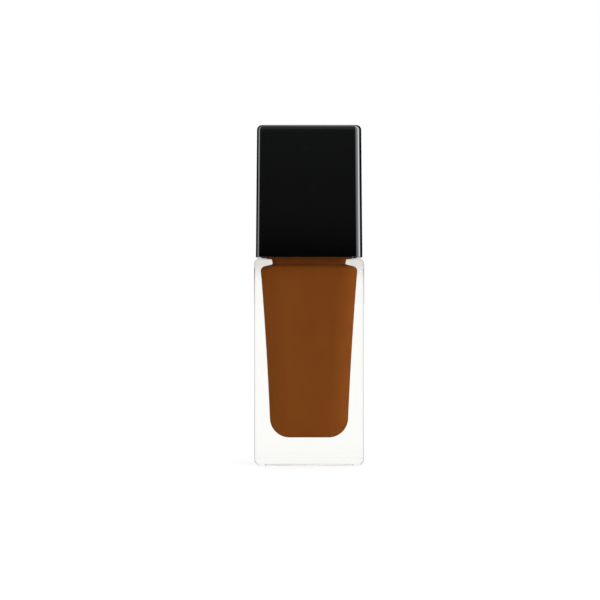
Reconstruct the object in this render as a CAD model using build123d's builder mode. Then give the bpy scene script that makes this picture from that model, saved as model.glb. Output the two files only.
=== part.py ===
"""Foundation bottle: square thick-walled glass, screw-on dosing pump, pull-off overcap.

Millimetres, +Z up.  The origin is the middle of the base.  X runs across the
broad front, which faces -Y, and the pump's spout points to -Y.
"""

import os
from math import cos, pi, radians, sin, sqrt, tan

from build123d import *

# ---------------------------------------------------------------- glass bottle
BODY_WIDTH = 35.2
BODY_HEIGHT = 66.2
BODY_EDGE_RADIUS = 2.4
SHOULDER_RADIUS = 1.6
FOOT_RADIUS = 2.3

BASE_THICKNESS = 8.6
PUSH_UP_DEPTH = 0.7
PUSH_UP_RADIUS = 0.3
BEARING_RING = 3.4

WALL_AT_SHOULDER = 1.95
WALL_AT_FOOT = 5.2
WALL_BOW = 0.3
SHOULDER_THICKNESS = 1.9
CAVITY_EDGE_RADIUS = 6.5
CAVITY_FOOT_RADIUS = 6.0
CAVITY_SHOULDER_RADIUS = 1.7

SPIGOT_CAP_GAP = 0.6
SPIGOT_HEIGHT = 2.2
SPIGOT_CORNER_RADIUS = 5.0
SPIGOT_TOP_RADIUS = 0.5
SPIGOT_WALL = 1.5
SPIGOT_ROOF = 1.5

NECK_RADIUS = 7.95
NECK_PUMP_GAP = 0.6
NECK_HEIGHT = 12.6
LIP_RADIUS = 0.5

# ------------------------------------------------------------- what is inside
FILL_GAP = 0.05
FILL_HEADSPACE = 0.5
FILL_PUMP_GAP = 0.3
LABEL_MARGIN = 2.85
LABEL_THICKNESS = 0.12
LABEL_CORNER_RADIUS = 2.0

# --------------------------------------------------------------- screw thread
THREAD_PITCH = 3.2
NECK_RIDGE_HEIGHT = 0.95
NECK_RIDGE_ROOT = 1.7
NECK_RIDGE_CREST = 0.7
NECK_RIDGE_TURNS = 1.6
NECK_RIDGE_RISE = 4.0
COLLAR_RIDGE_ROOT = 1.1
COLLAR_RIDGE_CREST = 0.5
COLLAR_RIDGE_TURNS = 1.2
COLLAR_RIDGE_LEAD = 60.0
RIDGE_CREST_GAP = 0.2
RIDGE_FLANK_GAP = 0.2
RIDGE_RAMP_ANGLE = 60.0
RIDGE_RAMP_REACH = 6.0
RIDGE_RAMP_SHARE = 0.8
RIDGE_ROOT_BITE = 0.2

# --------------------------------------------------------------------- collar
COLLAR_WALL = 1.1
COLLAR_WEB = 1.4
COLLAR_FOOT_GAP = 0.6
COLLAR_HOLE_GAP = 0.1
COLLAR_RIM_CHAMFER = 0.4
SLEEVE_WALL = 0.4
SLEEVE_TOP = 0.5
SLEEVE_GAP = 0.05
SLEEVE_HOLE_GAP = 0.4
SLEEVE_SHOULDER_RADIUS = 0.35
SLEEVE_ROOM = 0.95

# ------------------------------------------------------------- pump, standing
GASKET_SETBACK = 0.15
GASKET_BORE_GAP = 0.3
GASKET_THICKNESS = 0.8

BARREL_BORE_RADIUS = 3.8
BARREL_WALL = 0.9
BARREL_LENGTH = 17.2
HOUSING_FLANGE_SETBACK = 0.35
HOUSING_FLANGE = 1.2
CAGE_BALL_GAP = 0.4
CAGE_WALL = 1.3
CAGE_NUB_HEIGHT = 0.5
CAGE_NUB_REACH = 0.8
CAGE_NUB_WIDTH = 0.8
CAGE_NUBS = 3
INLET_RADIUS = 1.0
INLET_LENGTH = 0.8
SOCKET_WALL = 1.18
SOCKET_LENGTH = 5.5

RETAINER_FLANGE_SETBACK = 0.65
RETAINER_FLANGE = 1.0
CHIMNEY_RADIUS = 5.5
CHIMNEY_WALL = 1.1
CHIMNEY_HEIGHT = 7.4
CHIMNEY_ROOF = 1.2
BUSH_LENGTH = 2.8
BUSH_WALL = 1.25
WIPER_HEIGHT = 1.3
PRESS_GAP = 0.02

TUBE_RADIUS = 1.5
TUBE_WALL = 0.5
TUBE_END_GAP = 2.2
TUBE_BEVEL_ANGLE = 30.0
BALL_RADIUS = 1.5
BALL_GAP = 0.04
BALL_PLAY = 0.8

# --------------------------------------------------------------- pump, moving
STROKE = 4.5
STEM_RADIUS = 1.9
STEM_BORE_RADIUS = 1.0
STEM_SLIDE_GAP = 0.08
PISTON_HEIGHT = 4.0
PISTON_LIP = 0.8
PISTON_WAIST = 0.5
PISTON_SLIDE_GAP = 0.03
PISTON_SLIP = 0.7
PISTON_REST_GAP = 1.0
PORT_HEIGHT = 0.4
POPPET_SEAT = 1.0
POPPET_PIN_GAP = 0.7
POPPET_END_GAP = 0.4
POPPET_SPIGOT_LENGTH = 3.3
POPPET_FLUTE = 0.7
POPPET_TIP_CHAMFER = 0.4
SPRING_WIRE_RADIUS = 0.3
SPRING_COIL_RADIUS = 2.6
SPRING_TURNS = 5.0

ACTUATOR_FOOT_GAP = 0.4
ACTUATOR_WALL = 0.7
ACTUATOR_ROOF = 1.6
ACTUATOR_EDGE_RADIUS = 0.7
DISH_RIM = 1.4
DISH_DEPTH = 0.7
CORE_GAP = 0.05
CORE_FOOT_SETBACK = 0.7
CORE_SKIRT_WALL = 0.4
CHIMNEY_SIDE_GAP = 0.35
CORE_BOSS_RADIUS = 3.3
CORE_ROOF = 1.0
CORE_RIB = 0.8
CORE_RIBS = 4
CHIMNEY_TOP_GAP = 0.5
STEM_SOCKET_DEPTH = 3.2
SPOUT_DROP = 4.2
SPOUT_FLOOR = 0.3
SPOUT_RADIUS = 1.95
SPOUT_SETBACK = 0.55
SPOUT_BORE_RADIUS = 1.5
NOSE_RADIUS = 1.45
CHANNEL_RADIUS = 0.7
NOZZLE_LENGTH = 1.9
NOZZLE_ORIFICE_RADIUS = 0.45
NOZZLE_FLARE = 0.35

# -------------------------------------------------------------------- overcap
CAP_INSET = 0.5
CAP_GAP = 0.55
CAP_HEADROOM = 1.95
CAP_DRAFT_ANGLE = 0.5
CAP_WALL = 1.6
CAP_ROOF = 1.4
CAP_EDGE_RADIUS = 2.2
CAP_TOP_RADIUS = 1.25
CAP_MOUTH_RADIUS = 0.3
CAP_INNER_RADIUS = 0.8
LINER_GAP = 0.05
LINER_WALL = 1.2
LINER_ROOF = 1.0
LINER_SETBACK = 0.6
LINER_RIB = 1.2
LINER_RIB_OFFSET = 3.2
LINER_RIB_FOOT = 4.6
LINER_GRIP_GAP = 0.07
LINER_STOP_GAP = 0.05
LINER_STOP_REACH = 0.25
LINER_STOP_HEIGHT = 2.0

# ------------------------------------------- levels, from the base upwards
CAVITY_FLOOR_Z = BASE_THICKNESS
CAVITY_SHOULDER_Z = BODY_HEIGHT - SHOULDER_THICKNESS
SPIGOT_TOP_Z = BODY_HEIGHT + SPIGOT_HEIGHT
DOME_TOP_Z = SPIGOT_TOP_Z - SPIGOT_ROOF
NECK_TOP_Z = SPIGOT_TOP_Z + NECK_HEIGHT

FLANGE_BOTTOM_Z = NECK_TOP_Z + GASKET_THICKNESS
FLANGE_TOP_Z = FLANGE_BOTTOM_Z + HOUSING_FLANGE
SPRING_SEAT_Z = FLANGE_TOP_Z - BARREL_LENGTH
NUB_BOTTOM_Z = SPRING_SEAT_Z - CAGE_NUB_HEIGHT
BALL_Z = NUB_BOTTOM_Z - BALL_GAP - BALL_PLAY - BALL_RADIUS
SEAT_APEX_Z = BALL_Z - (BALL_RADIUS + BALL_GAP) * sqrt(2)
SOCKET_TOP_Z = SEAT_APEX_Z + INLET_RADIUS - INLET_LENGTH
SOCKET_BOTTOM_Z = SOCKET_TOP_Z - SOCKET_LENGTH
TUBE_BOTTOM_Z = CAVITY_FLOOR_Z + TUBE_END_GAP

WEB_BOTTOM_Z = FLANGE_TOP_Z + RETAINER_FLANGE
COLLAR_TOP_Z = WEB_BOTTOM_Z + COLLAR_WEB
COLLAR_BOTTOM_Z = SPIGOT_TOP_Z + COLLAR_FOOT_GAP
SLEEVE_TOP_Z = COLLAR_TOP_Z + SLEEVE_TOP
CHIMNEY_TOP_Z = WEB_BOTTOM_Z + CHIMNEY_HEIGHT
CHIMNEY_CEILING_Z = CHIMNEY_TOP_Z - CHIMNEY_ROOF
BUSH_BOTTOM_Z = FLANGE_TOP_Z - BUSH_LENGTH

PISTON_TOP_Z = BUSH_BOTTOM_Z - PISTON_REST_GAP
PISTON_BOTTOM_Z = PISTON_TOP_Z - PISTON_HEIGHT
POPPET_SEAT_Z = PISTON_BOTTOM_Z - PISTON_SLIDE_GAP
SPRING_TOP_Z = POPPET_SEAT_Z - POPPET_SEAT
STEM_BOTTOM_Z = POPPET_SEAT_Z + PORT_HEIGHT

POPPET_END_Z = SPRING_SEAT_Z + STROKE + POPPET_END_GAP

BOSS_BOTTOM_Z = CHIMNEY_TOP_Z + STROKE + CHIMNEY_TOP_GAP
STEM_TOP_Z = BOSS_BOTTOM_Z + STEM_SOCKET_DEPTH
SPOUT_Z = STEM_TOP_Z + SPOUT_FLOOR + CHANNEL_RADIUS
ACTUATOR_BOTTOM_Z = SLEEVE_TOP_Z + STROKE + ACTUATOR_FOOT_GAP
ACTUATOR_TOP_Z = SPOUT_Z + SPOUT_DROP
CORE_TOP_Z = ACTUATOR_TOP_Z - ACTUATOR_ROOF
CORE_BOTTOM_Z = ACTUATOR_BOTTOM_Z + CORE_FOOT_SETBACK

CAP_MOUTH_Z = BODY_HEIGHT + CAP_GAP
LINER_BOTTOM_Z = CAP_MOUTH_Z + LINER_SETBACK
LINER_CEILING_Z = ACTUATOR_TOP_Z + CAP_HEADROOM
LINER_TOP_Z = LINER_CEILING_Z + LINER_ROOF
CAP_CEILING_Z = LINER_TOP_Z + LINER_GAP
CAP_TOP_Z = CAP_CEILING_Z + CAP_ROOF

# ------------------------------------------------- radii and plan dimensions
COLLAR_BORE_RADIUS = NECK_RADIUS + NECK_RIDGE_HEIGHT + RIDGE_CREST_GAP
COLLAR_RADIUS = COLLAR_BORE_RADIUS + COLLAR_WALL
COLLAR_RIDGE_HEIGHT = COLLAR_BORE_RADIUS - NECK_RADIUS - RIDGE_CREST_GAP
COLLAR_HOLE_RADIUS = CHIMNEY_RADIUS + COLLAR_HOLE_GAP
SLEEVE_BORE_RADIUS = COLLAR_RADIUS + SLEEVE_GAP
SLEEVE_RADIUS = SLEEVE_BORE_RADIUS + SLEEVE_WALL

LINER_INSET = CAP_WALL + LINER_GAP
LINER_ROOM_INSET = LINER_INSET + LINER_WALL
BODY_DEPTH = 2 * (SLEEVE_RADIUS + SLEEVE_ROOM + LINER_ROOM_INSET + CAP_INSET)
CAP_WIDTH = BODY_WIDTH - 2 * CAP_INSET
CAP_DEPTH = BODY_DEPTH - 2 * CAP_INSET
SPIGOT_SETBACK = CAP_INSET + LINER_ROOM_INSET + SPIGOT_CAP_GAP
SPIGOT_WIDTH = BODY_WIDTH - 2 * SPIGOT_SETBACK
SPIGOT_DEPTH = BODY_DEPTH - 2 * SPIGOT_SETBACK
PUSH_UP_WIDTH = BODY_WIDTH - 2 * BEARING_RING
PUSH_UP_BREADTH = BODY_DEPTH - 2 * BEARING_RING

BARREL_RADIUS = BARREL_BORE_RADIUS + BARREL_WALL
NECK_BORE_RADIUS = BARREL_RADIUS + NECK_PUMP_GAP
CAGE_BORE_RADIUS = BALL_RADIUS + CAGE_BALL_GAP
CAGE_RADIUS = CAGE_BORE_RADIUS + CAGE_WALL
SOCKET_BORE_RADIUS = TUBE_RADIUS + PRESS_GAP
SOCKET_RADIUS = SOCKET_BORE_RADIUS + SOCKET_WALL
BUSH_RADIUS = BARREL_BORE_RADIUS - PRESS_GAP
BUSH_BORE_RADIUS = BUSH_RADIUS - BUSH_WALL
CHIMNEY_BORE_RADIUS = CHIMNEY_RADIUS - CHIMNEY_WALL
STEM_GUIDE_RADIUS = STEM_RADIUS + STEM_SLIDE_GAP
POPPET_SEAT_RADIUS = SPRING_COIL_RADIUS + SPRING_WIRE_RADIUS
POPPET_PIN_RADIUS = SPRING_COIL_RADIUS - SPRING_WIRE_RADIUS - POPPET_PIN_GAP

CORE_BORE_RADIUS = CHIMNEY_RADIUS + CHIMNEY_SIDE_GAP
CORE_RADIUS = CORE_BORE_RADIUS + CORE_SKIRT_WALL
ACTUATOR_RADIUS = CORE_RADIUS + CORE_GAP + ACTUATOR_WALL
DISH_RADIUS = ACTUATOR_RADIUS - DISH_RIM
SPOUT_REACH = SLEEVE_RADIUS - SPOUT_SETBACK
NOSE_REACH = SPOUT_REACH - NOZZLE_LENGTH


def turned(outline):
    """Solid of revolution about Z from the (radius, height) points of its closed outline."""
    with BuildPart(mode=Mode.PRIVATE) as piece:
        with BuildSketch(Plane.XZ):
            with BuildLine():
                Polyline(*outline, close=True)
            make_face()
        revolve(axis=Axis.Z)
    return piece.part


def cavity(gap):
    """The room for the make-up, shrunk by gap on every side.

    Each wall thickens from the shoulder to the foot along a shallow arc.  A
    smaller dome inside the spigot and the neck's bore open it to the top.
    """
    floor = CAVITY_FLOOR_Z + gap
    shoulder = CAVITY_SHOULDER_Z - gap
    middle = (floor + shoulder) / 2
    with BuildPart(mode=Mode.PRIVATE) as room:
        for plane, span, mode in (
            (Plane.XZ, BODY_WIDTH, Mode.ADD),
            (Plane.YZ, BODY_DEPTH, Mode.INTERSECT),
        ):
            top = span / 2 - WALL_AT_SHOULDER - gap
            foot = span / 2 - WALL_AT_FOOT - gap
            waist = (top + foot) / 2 - WALL_BOW
            with BuildSketch(plane):
                with BuildLine():
                    Line((-foot, floor), (foot, floor))
                    ThreePointArc((foot, floor), (waist, middle), (top, shoulder))
                    Line((top, shoulder), (-top, shoulder))
                    ThreePointArc((-top, shoulder), (-waist, middle), (-foot, floor))
                make_face()
            extrude(amount=BODY_WIDTH, both=True, mode=mode)
        tall = (shoulder - floor) / 2
        upright = room.edges().filter_by(lambda edge: edge.bounding_box().size.Z > tall)
        fillet(upright, CAVITY_EDGE_RADIUS - gap)
        fillet(room.faces().sort_by(Axis.Z)[0].edges(), CAVITY_FOOT_RADIUS - gap)
        fillet(room.faces().sort_by(Axis.Z)[-1].edges(), CAVITY_SHOULDER_RADIUS - gap)
        inset = 2 * (SPIGOT_WALL + gap)
        with BuildSketch(Plane.XY.offset(middle)):
            RectangleRounded(
                SPIGOT_WIDTH - inset,
                SPIGOT_DEPTH - inset,
                SPIGOT_CORNER_RADIUS - SPIGOT_WALL - gap,
            )
        extrude(amount=DOME_TOP_Z - gap - middle)
    return room.part


def thread_ridge(root_radius, height, root_width, crest_width, start_z, turns):
    """Right-handed ridge on a round wall, standing outward, or inward where height is negative.

    It starts on the X axis, and both of its ends ramp down to the wall.
    """
    side = 1 if height > 0 else -1
    root = -side * RIDGE_ROOT_BITE
    with BuildPart(mode=Mode.PRIVATE) as ridge:
        with BuildLine(Plane.XY.offset(start_z)) as path:
            Helix(pitch=THREAD_PITCH, height=THREAD_PITCH * turns, radius=root_radius)
        wire = path.wire()
        with BuildSketch(Plane(origin=wire @ 0, x_dir=(1, 0, 0), z_dir=wire % 0)):
            with BuildLine():
                Polyline(
                    (root, -root_width / 2),
                    (0, -root_width / 2),
                    (height, -crest_width / 2),
                    (height, crest_width / 2),
                    (0, root_width / 2),
                    (root, root_width / 2),
                    close=True,
                )
            make_face()
        sweep(path=wire, is_frenet=True)
        for end, inward in ((0, 1), (1, -1)):
            foot = wire @ end
            along = wire % end * inward
            out = Vector(foot.X, foot.Y, 0).normalized() * side
            ramp = radians(RIDGE_RAMP_ANGLE)
            normal = out * sin(ramp) - along * cos(ramp)
            with BuildSketch(Plane(origin=foot, x_dir=normal.cross(Vector(0, 0, 1)), z_dir=normal)):
                Rectangle(RIDGE_RAMP_REACH * abs(height), RIDGE_RAMP_SHARE * THREAD_PITCH)
            extrude(amount=RIDGE_RAMP_REACH * abs(height), mode=Mode.SUBTRACT)
    return ridge.part


def cap_block(inset, bottom, top):
    """Block from bottom to top whose walls run parallel to the overcap's drafted walls."""
    shrink = 2 * (inset + (bottom - CAP_MOUTH_Z) * tan(radians(CAP_DRAFT_ANGLE)))
    with BuildPart(mode=Mode.PRIVATE) as block:
        with BuildSketch(Plane.XY.offset(bottom)):
            RectangleRounded(
                CAP_WIDTH - shrink,
                CAP_DEPTH - shrink,
                max(CAP_EDGE_RADIUS - inset, CAP_INNER_RADIUS),
            )
        extrude(amount=top - bottom, taper=CAP_DRAFT_ANGLE)
    return block.part


# ------------------------------------------------------------ 1 glass bottle
bottle_room = cavity(0)
neck_ridge_z = SPIGOT_TOP_Z + NECK_RIDGE_RISE
neck_ridge = thread_ridge(
    NECK_RADIUS,
    NECK_RIDGE_HEIGHT,
    NECK_RIDGE_ROOT,
    NECK_RIDGE_CREST,
    neck_ridge_z,
    NECK_RIDGE_TURNS,
)
with BuildPart() as glass_bottle:
    with BuildSketch():
        RectangleRounded(BODY_WIDTH, BODY_DEPTH, BODY_EDGE_RADIUS)
    extrude(amount=BODY_HEIGHT)
    fillet(glass_bottle.faces().sort_by(Axis.Z)[-1].edges(), SHOULDER_RADIUS)
    fillet(glass_bottle.faces().sort_by(Axis.Z)[0].edges(), FOOT_RADIUS)
    with BuildSketch(Plane.XY.offset(BODY_HEIGHT)):
        RectangleRounded(SPIGOT_WIDTH, SPIGOT_DEPTH, SPIGOT_CORNER_RADIUS)
    extrude(amount=SPIGOT_HEIGHT)
    fillet(glass_bottle.faces().sort_by(Axis.Z)[-1].edges(), SPIGOT_TOP_RADIUS)
    with BuildSketch(Plane.XY.offset(SPIGOT_TOP_Z)):
        Circle(NECK_RADIUS)
    extrude(amount=NECK_HEIGHT)
    add(neck_ridge)
    add(bottle_room, mode=Mode.SUBTRACT)
    with BuildSketch(Plane.XY.offset(NECK_TOP_Z)):
        Circle(NECK_BORE_RADIUS)
    extrude(amount=DOME_TOP_Z - NECK_TOP_Z - FILL_HEADSPACE, mode=Mode.SUBTRACT)
    fillet(glass_bottle.faces().sort_by(Axis.Z)[-1].edges(), LIP_RADIUS)
    with BuildSketch():
        RectangleRounded(PUSH_UP_WIDTH, PUSH_UP_BREADTH, BODY_EDGE_RADIUS)
    extrude(amount=PUSH_UP_DEPTH, mode=Mode.SUBTRACT)
    push_up = glass_bottle.faces().filter_by(Plane.XY).filter_by_position(
        Axis.Z, PUSH_UP_DEPTH - 0.01, PUSH_UP_DEPTH + 0.01
    )
    fillet(push_up.edges(), PUSH_UP_RADIUS)
glass_bottle.part.label = "glass_bottle"

# --------------------------------------------------------- 2 foundation fill
fill_room = cavity(FILL_GAP)
fill_level = DOME_TOP_Z - FILL_HEADSPACE
with BuildPart() as foundation_fill:
    add(fill_room)
    split(bisect_by=Plane.XY.offset(fill_level), keep=Keep.BOTTOM)
    with BuildSketch(Plane.XY.offset(SOCKET_BOTTOM_Z - FILL_PUMP_GAP)):
        Circle(BARREL_RADIUS + FILL_PUMP_GAP)
    extrude(until=Until.LAST, mode=Mode.SUBTRACT)
    with BuildSketch(Plane.XY.offset(TUBE_BOTTOM_Z - FILL_PUMP_GAP)):
        Circle(TUBE_RADIUS + FILL_PUMP_GAP)
    extrude(until=Until.LAST, mode=Mode.SUBTRACT)
foundation_fill.part.label = "foundation_fill"

# -------------------------------------------------------------- 3 base label
with BuildPart() as base_label:
    with BuildSketch(Plane.XY.offset(PUSH_UP_DEPTH)):
        RectangleRounded(
            PUSH_UP_WIDTH - 2 * LABEL_MARGIN,
            PUSH_UP_BREADTH - 2 * LABEL_MARGIN,
            LABEL_CORNER_RADIUS,
        )
    extrude(amount=-LABEL_THICKNESS)
base_label.part.label = "base_label"

# ------------------------------------------------------------- 4 neck gasket
with BuildPart() as neck_gasket:
    with BuildSketch(Plane.XY.offset(NECK_TOP_Z)):
        Circle(NECK_RADIUS - GASKET_SETBACK)
        Circle(BARREL_RADIUS + GASKET_BORE_GAP, mode=Mode.SUBTRACT)
    extrude(amount=GASKET_THICKNESS)
neck_gasket.part.label = "neck_gasket"

# ------------------------------------------------------------ 5 screw collar
# The collar's ridge lies under the neck's ridge, one flank gap below it.
crest_share = RIDGE_CREST_GAP / NECK_RIDGE_HEIGHT
neck_ridge_half = (NECK_RIDGE_ROOT * (1 - crest_share) + NECK_RIDGE_CREST * crest_share) / 2
ridge_offset = neck_ridge_half + COLLAR_RIDGE_CREST / 2 + RIDGE_FLANK_GAP
lead_rise = THREAD_PITCH * COLLAR_RIDGE_LEAD / 360
collar_ridge = thread_ridge(
    COLLAR_BORE_RADIUS,
    -COLLAR_RIDGE_HEIGHT,
    COLLAR_RIDGE_ROOT,
    COLLAR_RIDGE_CREST,
    neck_ridge_z - ridge_offset + lead_rise,
    COLLAR_RIDGE_TURNS,
)
with BuildPart() as screw_collar:
    with BuildSketch(Plane.XY.offset(COLLAR_BOTTOM_Z)):
        Circle(COLLAR_RADIUS)
    extrude(amount=COLLAR_TOP_Z - COLLAR_BOTTOM_Z)
    chamfer(screw_collar.faces().sort_by(Axis.Z)[-1].edges(), COLLAR_RIM_CHAMFER)
    with BuildSketch(Plane.XY.offset(COLLAR_BOTTOM_Z)):
        Circle(COLLAR_BORE_RADIUS)
    extrude(amount=WEB_BOTTOM_Z - COLLAR_BOTTOM_Z, mode=Mode.SUBTRACT)
    with BuildSketch(Plane.XY.offset(WEB_BOTTOM_Z)):
        Circle(COLLAR_HOLE_RADIUS)
    extrude(amount=COLLAR_WEB, mode=Mode.SUBTRACT)
    add(collar_ridge, rotation=(0, 0, COLLAR_RIDGE_LEAD))
screw_collar.part.label = "screw_collar"

# ----------------------------------------------------------- 6 collar sleeve
with BuildPart() as collar_sleeve:
    with BuildSketch(Plane.XY.offset(COLLAR_BOTTOM_Z)):
        Circle(SLEEVE_RADIUS)
    extrude(amount=SLEEVE_TOP_Z - COLLAR_BOTTOM_Z)
    fillet(collar_sleeve.faces().sort_by(Axis.Z)[-1].edges(), SLEEVE_SHOULDER_RADIUS)
    with BuildSketch(Plane.XY.offset(COLLAR_BOTTOM_Z)):
        Circle(SLEEVE_BORE_RADIUS)
    extrude(amount=COLLAR_TOP_Z - COLLAR_BOTTOM_Z, mode=Mode.SUBTRACT)
    with BuildSketch(Plane.XY.offset(COLLAR_TOP_Z)):
        Circle(CHIMNEY_RADIUS + SLEEVE_HOLE_GAP)
    extrude(amount=SLEEVE_TOP, mode=Mode.SUBTRACT)
collar_sleeve.part.label = "collar_sleeve"

# ------------------------------------------------------------ 7 pump housing
seat_top_z = SEAT_APEX_Z + CAGE_BORE_RADIUS
housing_body = turned(
    [
        (BARREL_BORE_RADIUS, FLANGE_TOP_Z),
        (NECK_RADIUS - HOUSING_FLANGE_SETBACK, FLANGE_TOP_Z),
        (NECK_RADIUS - HOUSING_FLANGE_SETBACK, FLANGE_BOTTOM_Z),
        (BARREL_RADIUS, FLANGE_BOTTOM_Z),
        (BARREL_RADIUS, SPRING_SEAT_Z),
        (CAGE_RADIUS, SPRING_SEAT_Z - (BARREL_RADIUS - CAGE_RADIUS)),
        (CAGE_RADIUS, SOCKET_TOP_Z),
        (SOCKET_RADIUS, SOCKET_TOP_Z - (CAGE_RADIUS - SOCKET_RADIUS)),
        (SOCKET_RADIUS, SOCKET_BOTTOM_Z),
        (SOCKET_BORE_RADIUS, SOCKET_BOTTOM_Z),
        (SOCKET_BORE_RADIUS, SOCKET_TOP_Z),
        (INLET_RADIUS, SOCKET_TOP_Z),
        (INLET_RADIUS, SEAT_APEX_Z + INLET_RADIUS),
        (CAGE_BORE_RADIUS, seat_top_z),
        (CAGE_BORE_RADIUS, SPRING_SEAT_Z),
        (BARREL_BORE_RADIUS, SPRING_SEAT_Z),
    ]
)
with BuildPart() as pump_housing:
    add(housing_body)
    with BuildSketch(Plane.XY.offset(NUB_BOTTOM_Z)):
        with PolarLocations(CAGE_BORE_RADIUS, CAGE_NUBS):
            Rectangle(2 * CAGE_NUB_REACH, CAGE_NUB_WIDTH)
    extrude(amount=CAGE_NUB_HEIGHT)
pump_housing.part.label = "pump_housing"

# ---------------------------------------------------------------- 8 dip tube
with BuildPart() as dip_tube:
    with BuildSketch(Plane.XY.offset(TUBE_BOTTOM_Z)):
        Circle(TUBE_RADIUS)
        Circle(TUBE_RADIUS - TUBE_WALL, mode=Mode.SUBTRACT)
    extrude(amount=SOCKET_TOP_Z - TUBE_BOTTOM_Z)
    bevel_rise = TUBE_RADIUS * tan(radians(TUBE_BEVEL_ANGLE))
    bevel = Plane((0, 0, TUBE_BOTTOM_Z + bevel_rise)).rotated((TUBE_BEVEL_ANGLE, 0, 0))
    split(bisect_by=bevel, keep=Keep.TOP)
dip_tube.part.label = "dip_tube"

# -------------------------------------------------------------- 9 check ball
with BuildPart() as check_ball:
    with Locations((0, 0, BALL_Z)):
        Sphere(BALL_RADIUS)
check_ball.part.label = "check_ball"

# --------------------------------------------------------- 10 pump retainer
retainer_body = turned(
    [
        (BUSH_BORE_RADIUS, BUSH_BOTTOM_Z),
        (BUSH_RADIUS, BUSH_BOTTOM_Z),
        (BUSH_RADIUS, FLANGE_TOP_Z),
        (NECK_RADIUS - RETAINER_FLANGE_SETBACK, FLANGE_TOP_Z),
        (NECK_RADIUS - RETAINER_FLANGE_SETBACK, WEB_BOTTOM_Z),
        (CHIMNEY_RADIUS, WEB_BOTTOM_Z),
        (CHIMNEY_RADIUS, CHIMNEY_TOP_Z),
        (STEM_GUIDE_RADIUS, CHIMNEY_TOP_Z),
        (STEM_GUIDE_RADIUS, CHIMNEY_CEILING_Z),
        (CHIMNEY_BORE_RADIUS, CHIMNEY_CEILING_Z),
        (CHIMNEY_BORE_RADIUS, WEB_BOTTOM_Z),
        (BUSH_BORE_RADIUS, WEB_BOTTOM_Z),
    ]
)
with BuildPart() as pump_retainer:
    add(retainer_body)
    fillet(pump_retainer.edges().group_by(Axis.Z)[-1].sort_by(SortBy.RADIUS)[-1], LIP_RADIUS)
pump_retainer.part.label = "pump_retainer"

# ------------------------------------------------------------ 11 stem wiper
with BuildPart() as stem_wiper:
    with BuildSketch(Plane.XY.offset(CHIMNEY_CEILING_Z)):
        Circle(CHIMNEY_BORE_RADIUS - PRESS_GAP)
        Circle(STEM_GUIDE_RADIUS, mode=Mode.SUBTRACT)
    extrude(amount=-WIPER_HEIGHT)
stem_wiper.part.label = "stem_wiper"

# ----------------------------------------------------------------- 12 piston
lip_radius = BARREL_BORE_RADIUS - PISTON_SLIDE_GAP
piston_bore = STEM_RADIUS + PISTON_SLIDE_GAP
piston_body = turned(
    [
        (piston_bore, PISTON_BOTTOM_Z),
        (lip_radius, PISTON_BOTTOM_Z),
        (lip_radius, PISTON_BOTTOM_Z + PISTON_LIP),
        (lip_radius - PISTON_WAIST, PISTON_BOTTOM_Z + PISTON_LIP + PISTON_WAIST),
        (lip_radius - PISTON_WAIST, PISTON_TOP_Z - PISTON_LIP - PISTON_WAIST),
        (lip_radius, PISTON_TOP_Z - PISTON_LIP),
        (lip_radius, PISTON_TOP_Z),
        (piston_bore, PISTON_TOP_Z),
    ]
)
with BuildPart() as piston:
    add(piston_body)
piston.part.label = "piston"

# ---------------------------------------------------------- 13 piston poppet
with BuildPart() as piston_poppet:
    with BuildSketch(Plane.XY.offset(SPRING_TOP_Z)):
        Circle(POPPET_SEAT_RADIUS)
    extrude(amount=POPPET_SEAT)
    with BuildSketch(Plane.XY.offset(SPRING_TOP_Z)):
        Circle(POPPET_PIN_RADIUS)
    extrude(amount=POPPET_END_Z - SPRING_TOP_Z)
    chamfer(piston_poppet.faces().sort_by(Axis.Z)[0].edges(), POPPET_TIP_CHAMFER)
    with BuildSketch(Plane.XY.offset(POPPET_SEAT_Z)):
        Circle(STEM_BORE_RADIUS - PRESS_GAP)
        with PolarLocations(STEM_BORE_RADIUS, 2):
            Rectangle(STEM_BORE_RADIUS, POPPET_FLUTE, mode=Mode.SUBTRACT)
    extrude(amount=POPPET_SPIGOT_LENGTH)
piston_poppet.part.label = "piston_poppet"

# -------------------------------------------------------------- 14 pump stem
with BuildPart() as pump_stem:
    with BuildSketch(Plane.XY.offset(STEM_BOTTOM_Z)):
        Circle(STEM_RADIUS)
        Circle(STEM_BORE_RADIUS, mode=Mode.SUBTRACT)
    extrude(amount=STEM_TOP_Z - STEM_BOTTOM_Z)
pump_stem.part.label = "pump_stem"

# ---------------------------------------------------------- 15 return spring
spring_rise = SPRING_TOP_Z - SPRING_SEAT_Z - 2 * SPRING_WIRE_RADIUS
with BuildPart() as return_spring:
    with BuildLine(Plane.XY.offset(SPRING_SEAT_Z + SPRING_WIRE_RADIUS)) as coil:
        Helix(pitch=spring_rise / SPRING_TURNS, height=spring_rise, radius=SPRING_COIL_RADIUS)
    with BuildSketch(Plane(origin=coil.wire() @ 0, z_dir=coil.wire() % 0)):
        Circle(SPRING_WIRE_RADIUS)
    sweep(path=coil.wire(), is_frenet=True)
return_spring.part.label = "return_spring"

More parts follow.
